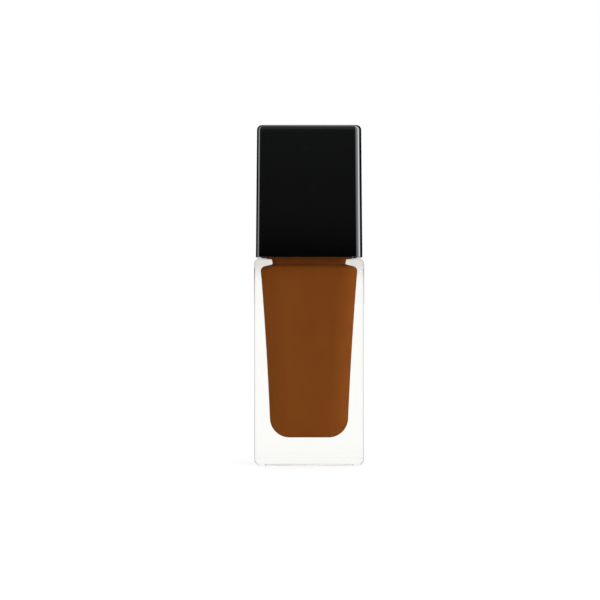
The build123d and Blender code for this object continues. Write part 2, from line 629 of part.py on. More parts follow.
# --------------------------------------------------------- 16 actuator shell
spout_plane = Plane(origin=(0, 0, SPOUT_Z), x_dir=(1, 0, 0), z_dir=(0, -1, 0))
with BuildPart() as actuator_shell:
    with BuildSketch(Plane.XY.offset(ACTUATOR_BOTTOM_Z)):
        Circle(ACTUATOR_RADIUS)
    extrude(amount=ACTUATOR_TOP_Z - ACTUATOR_BOTTOM_Z)
    fillet(actuator_shell.faces().sort_by(Axis.Z)[-1].edges(), ACTUATOR_EDGE_RADIUS)
    with BuildSketch(spout_plane):
        Circle(SPOUT_RADIUS)
    extrude(amount=SPOUT_REACH)
    with BuildSketch(Plane.XY.offset(ACTUATOR_BOTTOM_Z)):
        Circle(ACTUATOR_RADIUS - ACTUATOR_WALL)
    extrude(amount=CORE_TOP_Z - ACTUATOR_BOTTOM_Z, mode=Mode.SUBTRACT)
    with BuildSketch(spout_plane):
        Circle(SPOUT_BORE_RADIUS)
    extrude(amount=SPOUT_REACH, mode=Mode.SUBTRACT)
    dish_sphere = (DISH_RADIUS**2 + DISH_DEPTH**2) / (2 * DISH_DEPTH)
    with Locations((0, 0, ACTUATOR_TOP_Z - DISH_DEPTH + dish_sphere)):
        Sphere(dish_sphere, mode=Mode.SUBTRACT)
actuator_shell.part.label = "actuator_shell"

# ---------------------------------------------------------- 17 actuator core
with BuildPart() as actuator_core:
    with BuildSketch(Plane.XY.offset(CORE_BOTTOM_Z)):
        Circle(CORE_RADIUS)
    extrude(amount=CORE_TOP_Z - CORE_BOTTOM_Z)
    with BuildSketch(Plane.XY.offset(CORE_BOTTOM_Z)):
        Circle(CORE_BORE_RADIUS)
    extrude(amount=BOSS_BOTTOM_Z - CORE_BOTTOM_Z, mode=Mode.SUBTRACT)
    with BuildSketch(Plane.XY.offset(BOSS_BOTTOM_Z)):
        Circle(CORE_BORE_RADIUS)
        Circle(CORE_BOSS_RADIUS, mode=Mode.SUBTRACT)
        with PolarLocations(CORE_BOSS_RADIUS, CORE_RIBS):
            Rectangle(2 * CORE_RADIUS, CORE_RIB, mode=Mode.SUBTRACT)
    extrude(amount=CORE_TOP_Z - CORE_ROOF - BOSS_BOTTOM_Z, mode=Mode.SUBTRACT)
    with BuildSketch(spout_plane):
        Circle(NOSE_RADIUS)
    extrude(amount=NOSE_REACH)
    with BuildSketch(Plane.XY.offset(BOSS_BOTTOM_Z)):
        Circle(STEM_RADIUS + PRESS_GAP)
    extrude(amount=STEM_SOCKET_DEPTH, mode=Mode.SUBTRACT)
    with BuildSketch(Plane.XY.offset(STEM_TOP_Z)):
        Circle(STEM_BORE_RADIUS)
    extrude(amount=SPOUT_Z - STEM_TOP_Z, mode=Mode.SUBTRACT)
    with BuildSketch(spout_plane):
        Circle(CHANNEL_RADIUS)
    extrude(amount=NOSE_REACH, mode=Mode.SUBTRACT)
actuator_core.part.label = "actuator_core"

# ---------------------------------------------------------- 18 nozzle insert
nozzle_plane = spout_plane.offset(NOSE_REACH)
with BuildPart() as nozzle_insert:
    with BuildSketch(nozzle_plane):
        Circle(SPOUT_BORE_RADIUS - PRESS_GAP)
        Circle(NOZZLE_ORIFICE_RADIUS, mode=Mode.SUBTRACT)
    extrude(amount=NOZZLE_LENGTH)
    mouth = nozzle_insert.edges().filter_by(GeomType.CIRCLE).group_by(Axis.Y)[0]
    chamfer(mouth.sort_by(SortBy.RADIUS)[0], NOZZLE_FLARE)
nozzle_insert.part.label = "nozzle_insert"

# --------------------------------------------------------- 19 overcap shell
cap_outside = cap_block(0, CAP_MOUTH_Z, CAP_TOP_Z)
cap_inside = cap_block(CAP_WALL, CAP_MOUTH_Z, CAP_CEILING_Z)
with BuildPart() as overcap_shell:
    add(cap_outside)
    fillet(overcap_shell.faces().sort_by(Axis.Z)[-1].edges(), CAP_TOP_RADIUS)
    fillet(overcap_shell.faces().sort_by(Axis.Z)[0].edges(), CAP_MOUTH_RADIUS)
    add(cap_inside, mode=Mode.SUBTRACT)
overcap_shell.part.label = "overcap_shell"

# --------------------------------------------------------- 20 overcap liner
# Eight ribs grip the collar's sleeve, and their upper ends rest on its rim.
liner_outside = cap_block(LINER_INSET, LINER_BOTTOM_Z, LINER_TOP_Z)
liner_inside = cap_block(LINER_ROOM_INSET, LINER_BOTTOM_Z, LINER_CEILING_Z)
rib_bottom = COLLAR_BOTTOM_Z + LINER_RIB_FOOT
rib_top = SLEEVE_TOP_Z + LINER_STOP_GAP + LINER_STOP_HEIGHT
rib_room = cap_block(LINER_INSET + LINER_WALL / 2, rib_bottom, rib_top)
with BuildPart() as liner_ribs:
    with BuildSketch(Plane.XY.offset(rib_bottom)):
        for offset in (-LINER_RIB_OFFSET, LINER_RIB_OFFSET):
            with Locations((offset, 0)):
                Rectangle(LINER_RIB, CAP_DEPTH)
            with Locations((0, offset)):
                Rectangle(CAP_WIDTH, LINER_RIB)
    extrude(amount=rib_top - rib_bottom)
    add(rib_room, mode=Mode.INTERSECT)
    with BuildSketch(Plane.XY.offset(rib_bottom)):
        Circle(SLEEVE_RADIUS + LINER_GRIP_GAP)
    extrude(amount=SLEEVE_TOP_Z + LINER_STOP_GAP - rib_bottom, mode=Mode.SUBTRACT)
    with BuildSketch(Plane.XY.offset(rib_bottom)):
        Circle(SLEEVE_RADIUS - LINER_STOP_REACH)
    extrude(amount=rib_top - rib_bottom, mode=Mode.SUBTRACT)
with BuildPart() as overcap_liner:
    add(liner_outside)
    add(liner_inside, mode=Mode.SUBTRACT)
    add(liner_ribs.part)
overcap_liner.part.label = "overcap_liner"

# --------------------------------------------------------------------- export
pieces = [
    glass_bottle,
    foundation_fill,
    base_label,
    neck_gasket,
    screw_collar,
    collar_sleeve,
    pump_housing,
    dip_tube,
    check_ball,
    pump_retainer,
    stem_wiper,
    piston,
    piston_poppet,
    pump_stem,
    return_spring,
    actuator_shell,
    actuator_core,
    nozzle_insert,
    overcap_shell,
    overcap_liner,
]
os.makedirs("parts", exist_ok=True)
for piece in pieces:
    export_step(piece.part, f"parts/{piece.part.label}.step")
dose = pi * BARREL_BORE_RADIUS**2 * (STROKE - PISTON_SLIP)
print(f"make-up {foundation_fill.part.volume / 1000:.1f} ml")
print(f"dose {dose / 1000:.2f} ml")
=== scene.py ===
# %% [markdown]
# # A foundation bottle with a pump and an overcap
# The bottle is a heavy block of clear glass with a brown liquid cast into it, a
# treatment pump screwed on its neck, and a glossy black overcap. This lesson
# dresses a packed mechanical model: every piece keeps the place the model gives
# it, and Blender adds the smooth surfaces, the small mouldings and the finishes.
# Everything is in metres, with the base on z = 0 and the front facing -Y.

import math

import bmesh
import bpy
from mathutils import Matrix, Vector


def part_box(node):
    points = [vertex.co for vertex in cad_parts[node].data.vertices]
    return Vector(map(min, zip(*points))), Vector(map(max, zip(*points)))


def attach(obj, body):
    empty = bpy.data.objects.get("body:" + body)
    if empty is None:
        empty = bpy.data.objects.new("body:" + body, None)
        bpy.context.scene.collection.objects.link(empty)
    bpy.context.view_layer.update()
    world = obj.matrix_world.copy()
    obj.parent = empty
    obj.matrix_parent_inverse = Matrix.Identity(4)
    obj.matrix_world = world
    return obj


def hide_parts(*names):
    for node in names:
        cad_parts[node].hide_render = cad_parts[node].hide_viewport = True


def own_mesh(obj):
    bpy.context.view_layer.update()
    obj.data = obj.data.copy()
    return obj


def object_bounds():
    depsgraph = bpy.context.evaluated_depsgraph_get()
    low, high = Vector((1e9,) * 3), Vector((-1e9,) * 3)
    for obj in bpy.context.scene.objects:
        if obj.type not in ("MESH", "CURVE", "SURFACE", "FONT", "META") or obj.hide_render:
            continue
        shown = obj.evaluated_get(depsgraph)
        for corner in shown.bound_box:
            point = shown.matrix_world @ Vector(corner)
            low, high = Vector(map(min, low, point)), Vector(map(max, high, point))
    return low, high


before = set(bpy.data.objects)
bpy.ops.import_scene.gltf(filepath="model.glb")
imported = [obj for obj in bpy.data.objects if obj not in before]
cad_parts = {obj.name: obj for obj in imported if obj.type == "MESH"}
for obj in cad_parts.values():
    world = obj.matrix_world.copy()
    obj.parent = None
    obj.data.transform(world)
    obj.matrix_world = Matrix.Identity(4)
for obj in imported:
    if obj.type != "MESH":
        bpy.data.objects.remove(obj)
cad_low, cad_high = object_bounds()
MM = 0.001
print("CAD size in mm", [round(v / MM, 1) for v in cad_high - cad_low])


# %% [markdown]
# ## Sizes
# The frame already says how big each piece is, so the sizes below are read from
# the boxes of its nodes. Only what a box can't tell, such as the thickness of a
# wall or the radius of a corner, is a number of its own.

# %% Read the sizes from the frame
def span(node):
    """Half width, half depth, bottom and top of a node's box."""
    low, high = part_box(node)
    return (high[0] - low[0]) / 2, (high[1] - low[1]) / 2, low[2], high[2]


BODY_X, BODY_Y, _, NECK_TOP = span("glass_bottle")
_, _, _, FILL_TOP = span("foundation_fill")
_, _, LABEL_BOTTOM, LABEL_TOP = span("base_label")
CAP_X, CAP_Y, CAP_BOTTOM, CAP_TOP = span("overcap_shell")
SPRING_R, _, SPRING_BOTTOM, SPRING_TOP = span("return_spring")
TUBE_R, _, TUBE_BOTTOM, _ = span("dip_tube")
_, _, HOUSING_BOTTOM, _ = span("pump_housing")
print(f"body {2 * BODY_X / MM:.1f} x {2 * BODY_Y / MM:.1f} mm, neck top at {NECK_TOP / MM:.1f} mm")

# %% Sizes that no box can tell
# The body outside, from its shoulder to the push-up under the base.
BODY_EDGE = 2.4 * MM
SHOULDER_Z = 66.2 * MM
SHOULDER_ROUND = 1.6 * MM
FOOT_ROUND = 2.3 * MM
HEEL_SEAM = 0.28 * MM
BEARING_RING = 3.4 * MM
RING_ROUND = 0.2 * MM
PUSH_UP = 0.7 * MM
PUSH_UP_ROUND = 0.3 * MM

# The spigot that centres the overcap, and the screw neck on it.
SPIGOT_SETBACK = 3.95 * MM
SPIGOT_TOP = SHOULDER_Z + 2.2 * MM
SPIGOT_CORNER = 5.0 * MM
SPIGOT_RIM = 0.5 * MM
SPIGOT_WALL = 1.0 * MM
ROOT_FILLET = 0.3 * MM
NECK_R = 7.95 * MM
NECK_BORE = 5.3 * MM
BORE_TURN = 0.5 * MM
LIP_ROUND = 0.5 * MM
THREAD_PITCH = 3.2 * MM

# The cavity: its floor, its bowed walls, and the nose under the dome.
CAVITY_FLOOR = 8.6 * MM
CAVITY_SHOULDER = SHOULDER_Z - 2.26 * MM
SHOULDER_FALL = 15
CAVITY_CORNER = 6.5 * MM
CAVITY_FOOT_ROUND = 6.0 * MM
CAVITY_TOP_ROUND = 1.7 * MM
WALL_TOP = 1.95 * MM
WALL_FOOT = 5.2 * MM
WALL_BOW = 0.3 * MM
NOSE_ROUND = 0.45 * MM
NOSE_INSET = 1.45 * MM
NOSE_LEAN = 32
NOSE_Z = SHOULDER_Z - 1.32 * MM
DOME_TOP = SPIGOT_TOP - 1.0 * MM
DOME_EDGE = 0.4 * MM
DOME_WALL_TOP = DOME_TOP - 0.45 * MM

# The make-up's surface, and the room it leaves for the pump.
FILL_LEVEL = DOME_TOP - 0.5 * MM
DISH_RADIUS = 5.6 * MM
BARREL_R = 4.7 * MM
PUMP_GAP = 0.3 * MM

# The overcap.
CAP_EDGE = 2.2 * MM
CAP_TOP_ROUND = 1.7 * MM
CAP_WALL = 1.6 * MM
CAP_ROOF = 1.4 * MM
CAP_LIP = 0.08 * MM
CAP_INNER_ROUND = 0.4 * MM
CAP_DRAFT = math.radians(0.5)
print(f"glass under the make-up {(CAVITY_FLOOR - PUSH_UP) / MM:.1f} mm")


# %% [markdown]
# ## Tools for stacked shapes
# The glass, the liquid and the overcap are all the same kind of form: level
# outlines, each a rounded rectangle or a circle, stacked along Z and skinned.
# They could be boxes with a Bevel modifier, but then the cavity's bowed walls
# and the change from a square shoulder to a round neck would need sculpting.
# A stack of outlines says those shapes exactly, and its rows of faces follow
# the rounded edges, which is what makes a highlight run clean along them.

# %% Skin a stack of level outlines
CORNER_STEPS = 20


def outline(level):
    """Points of one rounded rectangle, the same number whatever its corner radius."""
    half_x, half_y, corner, z = level
    corner = min(corner, half_x, half_y)
    points = []
    for quarter, (side_x, side_y) in enumerate(((1, 1), (-1, 1), (-1, -1), (1, -1))):
        for step in range(CORNER_STEPS + 1):
            angle = math.radians(90 * (quarter + step / CORNER_STEPS))
            points.append((
                side_x * (half_x - corner) + corner * math.cos(angle),
                side_y * (half_y - corner) + corner * math.sin(angle),
                z,
            ))
    return points


def add_object(name, mesh):
    """Puts a mesh in the scene at the origin."""
    piece = bpy.data.objects.new(name, mesh)
    bpy.context.scene.collection.objects.link(piece)
    return piece


def stacked(name, levels):
    """Closed piece whose skin runs through the levels and is closed flat at both ends."""
    bm = bmesh.new()
    rows = [[bm.verts.new(point) for point in outline(level)] for level in levels]
    count = len(rows[0])
    for lower, upper in zip(rows, rows[1:]):
        for i in range(count):
            j = (i + 1) % count
            bm.faces.new((lower[i], lower[j], upper[j], upper[i]))
    bm.faces.new(rows[0])
    bm.faces.new(rows[-1])
    bmesh.ops.remove_doubles(bm, verts=bm.verts, dist=1e-7)
    bmesh.ops.recalc_face_normals(bm, faces=bm.faces)
    mesh = bpy.data.meshes.new(name)
    bm.to_mesh(mesh)
    bm.free()
    return add_object(name, mesh)


def arc(start, stop, steps):
    """Angles in radians from start to stop, given in degrees, both ends included."""
    return [math.radians(start + (stop - start) * i / steps) for i in range(steps + 1)]


TO_LEVEL = (0, 90)
TO_WALL = (90, 0)


def rounded(outline_at, edge, z, across, up, steps, way):
    """Outlines round the edge where the wall at edge meets the level face at z.

    outline_at is the function that gives one outline. across and up are the
    radius, with the signs that lead from that edge to the arc's centre. The way
    is TO_LEVEL when it starts at the wall, and TO_WALL when it ends there.
    """
    return [
        outline_at(edge + across * (1 - math.cos(angle)), z + up * (1 - math.sin(angle)))
        for angle in arc(*way, steps)
    ]


# %% Keep flats flat and rounds round
def settle(piece, sharp_above=35):
    """Smooth-shades a piece and weights its normals by face area, as a plain mesh.

    Weighting by area leaves a large flat truly flat right up to the rounded
    edge beside it, so reflections stay straight.
    """
    mesh = piece.data
    mesh.polygons.foreach_set("use_smooth", [True] * len(mesh.polygons))
    mesh.set_sharp_from_angle(angle=math.radians(sharp_above))
    weight = piece.modifiers.new("weighted", "WEIGHTED_NORMAL")
    weight.keep_sharp = True
    weight.weight = 75
    return plain(piece)


def plain(piece):
    """Turns a piece and its modifiers into a plain mesh."""
    graph = bpy.context.evaluated_depsgraph_get()
    mesh = bpy.data.meshes.new_from_object(piece.evaluated_get(graph))
    mesh.name = piece.name
    piece.modifiers.clear()
    piece.data = mesh
    return piece


def dressed(node, name, sharp_above=35):
    """A welded, smooth-shaded copy of a CAD node, to stand for it."""
    bm = bmesh.new()
    bm.from_mesh(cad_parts[node].data)
    bmesh.ops.remove_doubles(bm, verts=bm.verts, dist=1e-6)
    mesh = bpy.data.meshes.new(name)
    bm.to_mesh(mesh)
    bm.free()
    mesh.materials.clear()
    piece = settle(add_object(name, mesh), sharp_above)
    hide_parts(node)
    return piece


# %% [markdown]
# ## Tools for materials
# A material here is a short function that fills in a Principled BSDF and then
# adds detail with nodes. Three effects are shared as shader groups: handling
# marks, which change the gloss; the fine orange-peel of a moulded surface, which
# is a height for a Bump node; and specks of dust, which are a mask.

# %% Small helpers for node trees
def link(tree, start, end):
    """Links one socket to another."""
    tree.links.new(start, end)


def feed(tree, value, socket):
    """Links a socket, or sets a number or a colour on the socket."""
    if isinstance(value, bpy.types.NodeSocket):
        link(tree, value, socket)
    elif isinstance(value, tuple):
        socket.default_value = (*value, 1.0)
    else:
        socket.default_value = value


def math_node(tree, operation, first, second=0.0, clamp=False):
    """A Math node fed by sockets or numbers, and its output."""
    node = tree.nodes.new("ShaderNodeMath")
    node.operation = operation
    node.use_clamp = clamp
    feed(tree, first, node.inputs[0])
    feed(tree, second, node.inputs[1])
    return node.outputs[0]


def ramp_node(tree, value, low, high, out_low=0.0, out_high=1.0, smooth=True):
    """A Map Range node from low..high to out_low..out_high, and its output."""
    node = tree.nodes.new("ShaderNodeMapRange")
    node.interpolation_type = "SMOOTHSTEP" if smooth else "LINEAR"
    feed(tree, low, node.inputs["From Min"])
    feed(tree, high, node.inputs["From Max"])
    feed(tree, out_low, node.inputs["To Min"])
    feed(tree, out_high, node.inputs["To Max"])
    feed(tree, value, node.inputs["Value"])
    return node.outputs["Result"]


def noise_node(tree, vector, scale, detail=3.0, roughness=0.5):
    """A Noise Texture and its factor output."""
    node = tree.nodes.new("ShaderNodeTexNoise")
    feed(tree, scale, node.inputs["Scale"])
    feed(tree, detail, node.inputs["Detail"])
    feed(tree, roughness, node.inputs["Roughness"])
    feed(tree, vector, node.inputs["Vector"])
    return node.outputs["Fac"]


def stretch_node(tree, vector, scale, turn=(0.0, 0.0, 0.0)):
    """A Mapping node that stretches and turns a pattern, and its output."""
    node = tree.nodes.new("ShaderNodeMapping")
    node.inputs["Rotation"].default_value = turn
    node.inputs["Scale"].default_value = scale
    link(tree, vector, node.inputs["Vector"])
    return node.outputs["Vector"]


def height_of(tree, vector):
    """The Z part of a vector."""
    node = tree.nodes.new("ShaderNodeSeparateXYZ")
    link(tree, vector, node.inputs[0])
    return node.outputs["Z"]


def new_group(name, inputs, outputs):
    """An empty shader group with float inputs and outputs, and its two end nodes."""
    group = bpy.data.node_groups.new(name, "ShaderNodeTree")
    group.interface.new_socket("Vector", in_out="INPUT", socket_type="NodeSocketVector")
    for label, default in inputs:
        socket = group.interface.new_socket(label, in_out="INPUT", socket_type="NodeSocketFloat")
        socket.default_value = default
    for label in outputs:
        group.interface.new_socket(label, in_out="OUTPUT", socket_type="NodeSocketFloat")
    start = group.nodes.new("NodeGroupInput")
    end = group.nodes.new("NodeGroupOutput")
    return group, start.outputs, end.inputs


# %% The handling marks group: soft smudges and hair-fine rubs in the gloss
handling, given, result = new_group(
    "handling_marks",
    [("Base Roughness", 0.1), ("Smudge", 0.1), ("Rubs", 0.05), ("Scale", 60.0)],
    ["Roughness", "Mask"],
)
cloudy = noise_node(handling, given["Vector"], given["Scale"], 4.0, 0.6)
smudge = ramp_node(handling, cloudy, 0.5, 0.72)
rub_mask = None
for turn, squeeze in ((0.4, (1.0, 40.0, 1.0)), (1.9, (1.0, 1.0, 55.0))):
    lines = stretch_node(handling, given["Vector"], squeeze, (turn, turn / 2, turn))
    thin = ramp_node(handling, noise_node(handling, lines, 130.0, 1.0), 0.66, 0.74)
    rub_mask = thin if rub_mask is None else math_node(handling, "MAXIMUM", rub_mask, thin)
rubs = math_node(handling, "MULTIPLY", rub_mask, given["Rubs"])
smudged = math_node(handling, "MULTIPLY", smudge, given["Smudge"])
marks = math_node(handling, "ADD", smudged, rubs)
rough = math_node(handling, "ADD", marks, given["Base Roughness"], True)
link(handling, rough, result["Roughness"])
link(handling, smudge, result["Mask"])

# %% The moulded skin group: the slow waves and fine peel of a moulded surface
skin, given, result = new_group(
    "moulded_skin",
    [("Wave Scale", 90.0), ("Peel Scale", 2500.0), ("Peel", 0.3)],
    ["Height"],
)
waves = noise_node(skin, given["Vector"], given["Wave Scale"], 1.0, 0.4)
peel = noise_node(skin, given["Vector"], given["Peel Scale"], 2.0, 0.6)
fine = math_node(skin, "MULTIPLY", peel, given["Peel"])
link(skin, math_node(skin, "ADD", waves, fine), result["Height"])

# %% The dust group: a mask of sparse specks of uneven size
dust, given, result = new_group(
    "dust_specks",
    [("Scale", 900.0), ("Amount", 0.02)],
    ["Mask"],
)
cells = dust.nodes.new("ShaderNodeTexVoronoi")
link(dust, given["Vector"], cells.inputs["Vector"])
link(dust, given["Scale"], cells.inputs["Scale"])
chosen = dust.nodes.new("ShaderNodeSeparateColor")
link(dust, cells.outputs["Color"], chosen.inputs["Color"])
rare = math_node(dust, "LESS_THAN", chosen.outputs["Red"], given["Amount"])
size = math_node(dust, "MULTIPLY", chosen.outputs["Green"], 0.3)
near = math_node(dust, "LESS_THAN", cells.outputs["Distance"], size)
link(dust, math_node(dust, "MULTIPLY", rare, near), result["Mask"])
print("shader groups", [group.name for group in (handling, skin, dust)])


# %% Start a material
def place_group(tree, group, vector, **values):
    """Places a shader group in a material with its own values."""
    node = tree.nodes.new("ShaderNodeGroup")
    node.node_tree = group
    link(tree, vector, node.inputs["Vector"])
    for name, value in values.items():
        node.inputs[name.replace("_", " ")].default_value = value
    return node.outputs


def new_material(name, colour, **sockets):
    """A material with its Principled BSDF filled in, its tree and its Object coordinates."""
    material = bpy.data.materials.new(name)
    material.use_nodes = True
    tree = material.node_tree
    shader = tree.nodes["Principled BSDF"]
    shader.inputs["Base Color"].default_value = (*colour, 1.0)
    for label, value in sockets.items():
        shader.inputs[label.replace("_", " ")].default_value = value
    place = tree.nodes.new("ShaderNodeTexCoord").outputs["Object"]
    return material, tree, shader, place


def bump(tree, shader, height, strength, depth):
    """Feeds a height to the shader's normal; depth is the height's real size in metres."""
    node = tree.nodes.new("ShaderNodeBump")
    node.inputs["Strength"].default_value = strength
    node.inputs["Distance"].default_value = depth
    link(tree, height, node.inputs["Height"])
    link(tree, node.outputs["Normal"], shader.inputs["Normal"])


def blend_colour(tree, shader, mask, first, second):
    """Base colour that goes from first to second where the mask is white."""
    mix = tree.nodes.new("ShaderNodeMix")
    mix.data_type = "RGBA"
    feed(tree, mask, mix.inputs["Factor"])
    feed(tree, first, mix.inputs["A"])
    feed(tree, second, mix.inputs["B"])
    link(tree, mix.outputs["Result"], shader.inputs["Base Color"])
    return mix.outputs["Result"]


# %% [markdown]
# ## The glass
# Cosmetic glass is pressed and blown flint glass: almost colourless, heavy at
# the base, with walls that are a little wavy because the gob of glass chills
# unevenly. The body is one closed skin: it starts in the push-up under the base,
# runs up the outside to the neck's lip, turns in, and comes down the bore and
# the cavity's walls to the floor that the liquid stands on. One skin matters
# for glass, because the renderer counts each crossing as going in or out.
#
# Flint glass bends light by an index near 1.5, and at that index the thick
# walls fold the brown of the make-up into broad bands. A product studio hides
# them by soaking the walls in even white light. The index here is low instead:
# the walls stay clear, as they do in such a studio, and a Fresnel mask at the
# real index paints the skin dark where it turns away, which draws the outline.
# That dark edge is painted shade, in place of the dark edge that thick glass at
# its real index shows. The mask works only where light enters, and not on the
# flat underside, which would draw a dark line along the foot. Near the overcap
# the clear colour gives way to a greyer one: painted shade, for the shade that
# the black cap throws.

# %% Clear glass material
GLASS_IOR = 1.06
FLINT_IOR = 1.5
GLASS_CLEAR = (0.972, 0.972, 0.946)
GLASS_CAP_SHADE_GREY = (0.735, 0.705, 0.67)
GLASS_EDGE_SHADE = (0.05, 0.05, 0.045)
OUTLINE_BAND = (0.025, 0.34)
UNDERSIDE_BAND = (-0.97, -0.72)
CAP_SHADE = 7.5 * MM


def clear_glass():
    material, tree, shader, place = new_material(
        "clear_glass",
        GLASS_CLEAR,
        IOR=GLASS_IOR,
        Transmission_Weight=1.0,
    )
    touch = place_group(
        tree, handling, place, Base_Roughness=0.0, Smudge=0.03, Rubs=0.04, Scale=70.0
    )
    link(tree, touch["Roughness"], shader.inputs["Roughness"])
    ripple = place_group(tree, skin, place, Wave_Scale=75.0, Peel_Scale=420.0, Peel=0.05)
    bump(tree, shader, ripple["Height"], 0.25, 0.02 * MM)
    # Painted shade: the glass's colour greys towards the overcap, for the shade that the cap
    # throws.
    cap_shade_mask = ramp_node(tree, height_of(tree, place), SHOULDER_Z - CAP_SHADE, SHOULDER_Z)
    tint_and_cap_shade = blend_colour(tree, shader, cap_shade_mask, GLASS_CLEAR, GLASS_CAP_SHADE_GREY)
    # Painted shade: the Fresnel mask darkens the glass's colour where the skin turns away, which
    # draws its outline.
    rim = tree.nodes.new("ShaderNodeFresnel")
    rim.inputs["IOR"].default_value = FLINT_IOR
    painted_edge_shade = ramp_node(tree, rim.outputs["Fac"], *OUTLINE_BAND, smooth=False)
    surface = tree.nodes.new("ShaderNodeNewGeometry").outputs
    entering = math_node(tree, "SUBTRACT", 1.0, surface["Backfacing"])
    painted_edge_shade = math_node(tree, "MULTIPLY", painted_edge_shade, entering)
    not_under = ramp_node(tree, height_of(tree, surface["Normal"]), *UNDERSIDE_BAND)
    painted_edge_shade = math_node(tree, "MULTIPLY", painted_edge_shade, not_under)
    blend_colour(tree, shader, painted_edge_shade, tint_and_cap_shade, GLASS_EDGE_SHADE)
    return material


# %% [markdown]
# ### The outlines of the body
# Such a bottle is made in two steps, and each leaves its mark. The outer mould
# closes on a bottom plate, whose joint leaves a fine seam just above the foot.
# Inside, the glass is blown: the cavity's walls bow, its corners are wide, and
# under the neck it folds over a rounded nose into a low room, the dome. Each of
# these forms is a family of outlines, so each is a function that gives one
# outline or a few. The cavity's can be grown a hair, for the liquid to use.

# %% Level outlines of the body and the cavity
CAVITY_ROWS = 40


def body_level(inset, z):
    """Outline of the outer body, drawn in by inset."""
    return BODY_X - inset, BODY_Y - inset, max(BODY_EDGE - inset, 0.3 * MM), z


def spigot_level(inset, z):
    """Outline of the raised spigot that centres the overcap."""
    return (
        BODY_X - SPIGOT_SETBACK - inset,
        BODY_Y - SPIGOT_SETBACK - inset,
        SPIGOT_CORNER - inset,
        z,
    )


def round_level(radius, z):
    """A circle as a level outline."""
    return radius, radius, radius, z


def cavity_level(z, inset, grow):
    """Outline of the cavity at z: its walls bow in and thicken towards the foot."""
    share = (z - CAVITY_FLOOR) / (CAVITY_SHOULDER - CAVITY_FLOOR)
    wall = WALL_FOOT + (WALL_TOP - WALL_FOOT) * share + 4 * WALL_BOW * share * (1 - share)
    step = wall + inset - grow
    return BODY_X - step, BODY_Y - step, CAVITY_CORNER - inset + grow, z


def dish_levels(grow):
    """Outlines up the pump's well and over the make-up's surface, drawn up by the glass."""
    well = PUMP_GAP + BARREL_R
    levels = [
        round_level(TUBE_R + PUMP_GAP, TUBE_BOTTOM - PUMP_GAP),
        round_level(TUBE_R + PUMP_GAP, HOUSING_BOTTOM - PUMP_GAP),
        round_level(well, HOUSING_BOTTOM - PUMP_GAP),
        round_level(well, FILL_TOP),
    ]
    reach_x = BODY_X - SPIGOT_SETBACK - SPIGOT_WALL
    reach_y = BODY_Y - SPIGOT_SETBACK - SPIGOT_WALL
    for angle in arc(0, 90, 6):
        share = math.sin(angle)
        half_x = DISH_RADIUS + (reach_x - DISH_RADIUS) * share
        half_y = DISH_RADIUS + (reach_y - DISH_RADIUS) * share
        corner = half_y - (half_y - SPIGOT_CORNER + SPIGOT_WALL) * share
        out = grow * share
        z = FILL_TOP + (FILL_LEVEL - FILL_TOP) * (1 - math.cos(angle))
        levels.append((half_x + out, half_y + out, corner + out, z))
    return levels


def cavity_levels(top, grow):
    """Outlines from the dome's level top, round the nose, down the walls to the floor.

    The nose is the rounded glass edge between the dome and the sloping shoulder.
    grow pushes them out into the glass, which the liquid needs.
    """
    levels = [spigot_level(SPIGOT_WALL - grow, top)]
    radius = NOSE_ROUND - grow
    for angle in arc(NOSE_LEAN, SHOULDER_FALL - 90, 10):
        z = NOSE_Z + radius * math.sin(angle)
        levels.append(spigot_level(NOSE_INSET + radius * math.cos(angle), z))
    radius = CAVITY_TOP_ROUND
    for angle in arc(90 - SHOULDER_FALL, 0, 10):
        z = CAVITY_SHOULDER - radius + (radius + grow) * math.sin(angle)
        levels.append(cavity_level(z, radius * (1 - math.cos(angle)), grow))
    radius = CAVITY_FOOT_ROUND
    start, stop = CAVITY_SHOULDER - CAVITY_TOP_ROUND, CAVITY_FLOOR + radius
    for i in range(1, CAVITY_ROWS):
        levels.append(cavity_level(start + (stop - start) * i / CAVITY_ROWS, 0.0, grow))
    for angle in arc(0, 90, 16):
        z = CAVITY_FLOOR + radius * (1 - math.sin(angle)) - grow * math.sin(angle)
        levels.append(cavity_level(z, radius * (1 - math.cos(angle)), grow))
    return levels


# %% Stack the glass body
NECK_ROWS = 90


def outer_levels():
    """Outlines from the push-up, under the foot, up the body and the neck to the lip."""
    levels = rounded(
        body_level, BEARING_RING, PUSH_UP, PUSH_UP_ROUND, -PUSH_UP_ROUND, 5, TO_WALL
    )
    levels += rounded(body_level, BEARING_RING, 0.0, -RING_ROUND, RING_ROUND, 4, TO_LEVEL)
    levels += rounded(body_level, 0.0, 0.0, FOOT_ROUND, FOOT_ROUND, 10, TO_WALL)
    for up, inset in ((0.0, 0.0), (0.25, 0.6), (0.5, 0.7), (0.75, 0.6), (1.0, 0.0)):
        levels.append(body_level(inset * HEEL_SEAM, FOOT_ROUND + (0.3 + up) * HEEL_SEAM))
    levels += rounded(body_level, 0.0, SHOULDER_Z, SHOULDER_ROUND, -SHOULDER_ROUND, 10, TO_LEVEL)
    levels += rounded(spigot_level, 0.0, SHOULDER_Z, -ROOT_FILLET, ROOT_FILLET, 5, TO_WALL)
    levels += rounded(spigot_level, 0.0, SPIGOT_TOP, SPIGOT_RIM, -SPIGOT_RIM, 6, TO_LEVEL)
    levels += rounded(round_level, NECK_R, SPIGOT_TOP, ROOT_FILLET, ROOT_FILLET, 5, TO_WALL)
    low, high = SPIGOT_TOP + ROOT_FILLET, NECK_TOP - LIP_ROUND
    for i in range(1, NECK_ROWS):
        levels.append(round_level(NECK_R, low + (high - low) * i / NECK_ROWS))
    return levels + rounded(round_level, NECK_R, NECK_TOP, -LIP_ROUND, -LIP_ROUND, 6, TO_LEVEL)


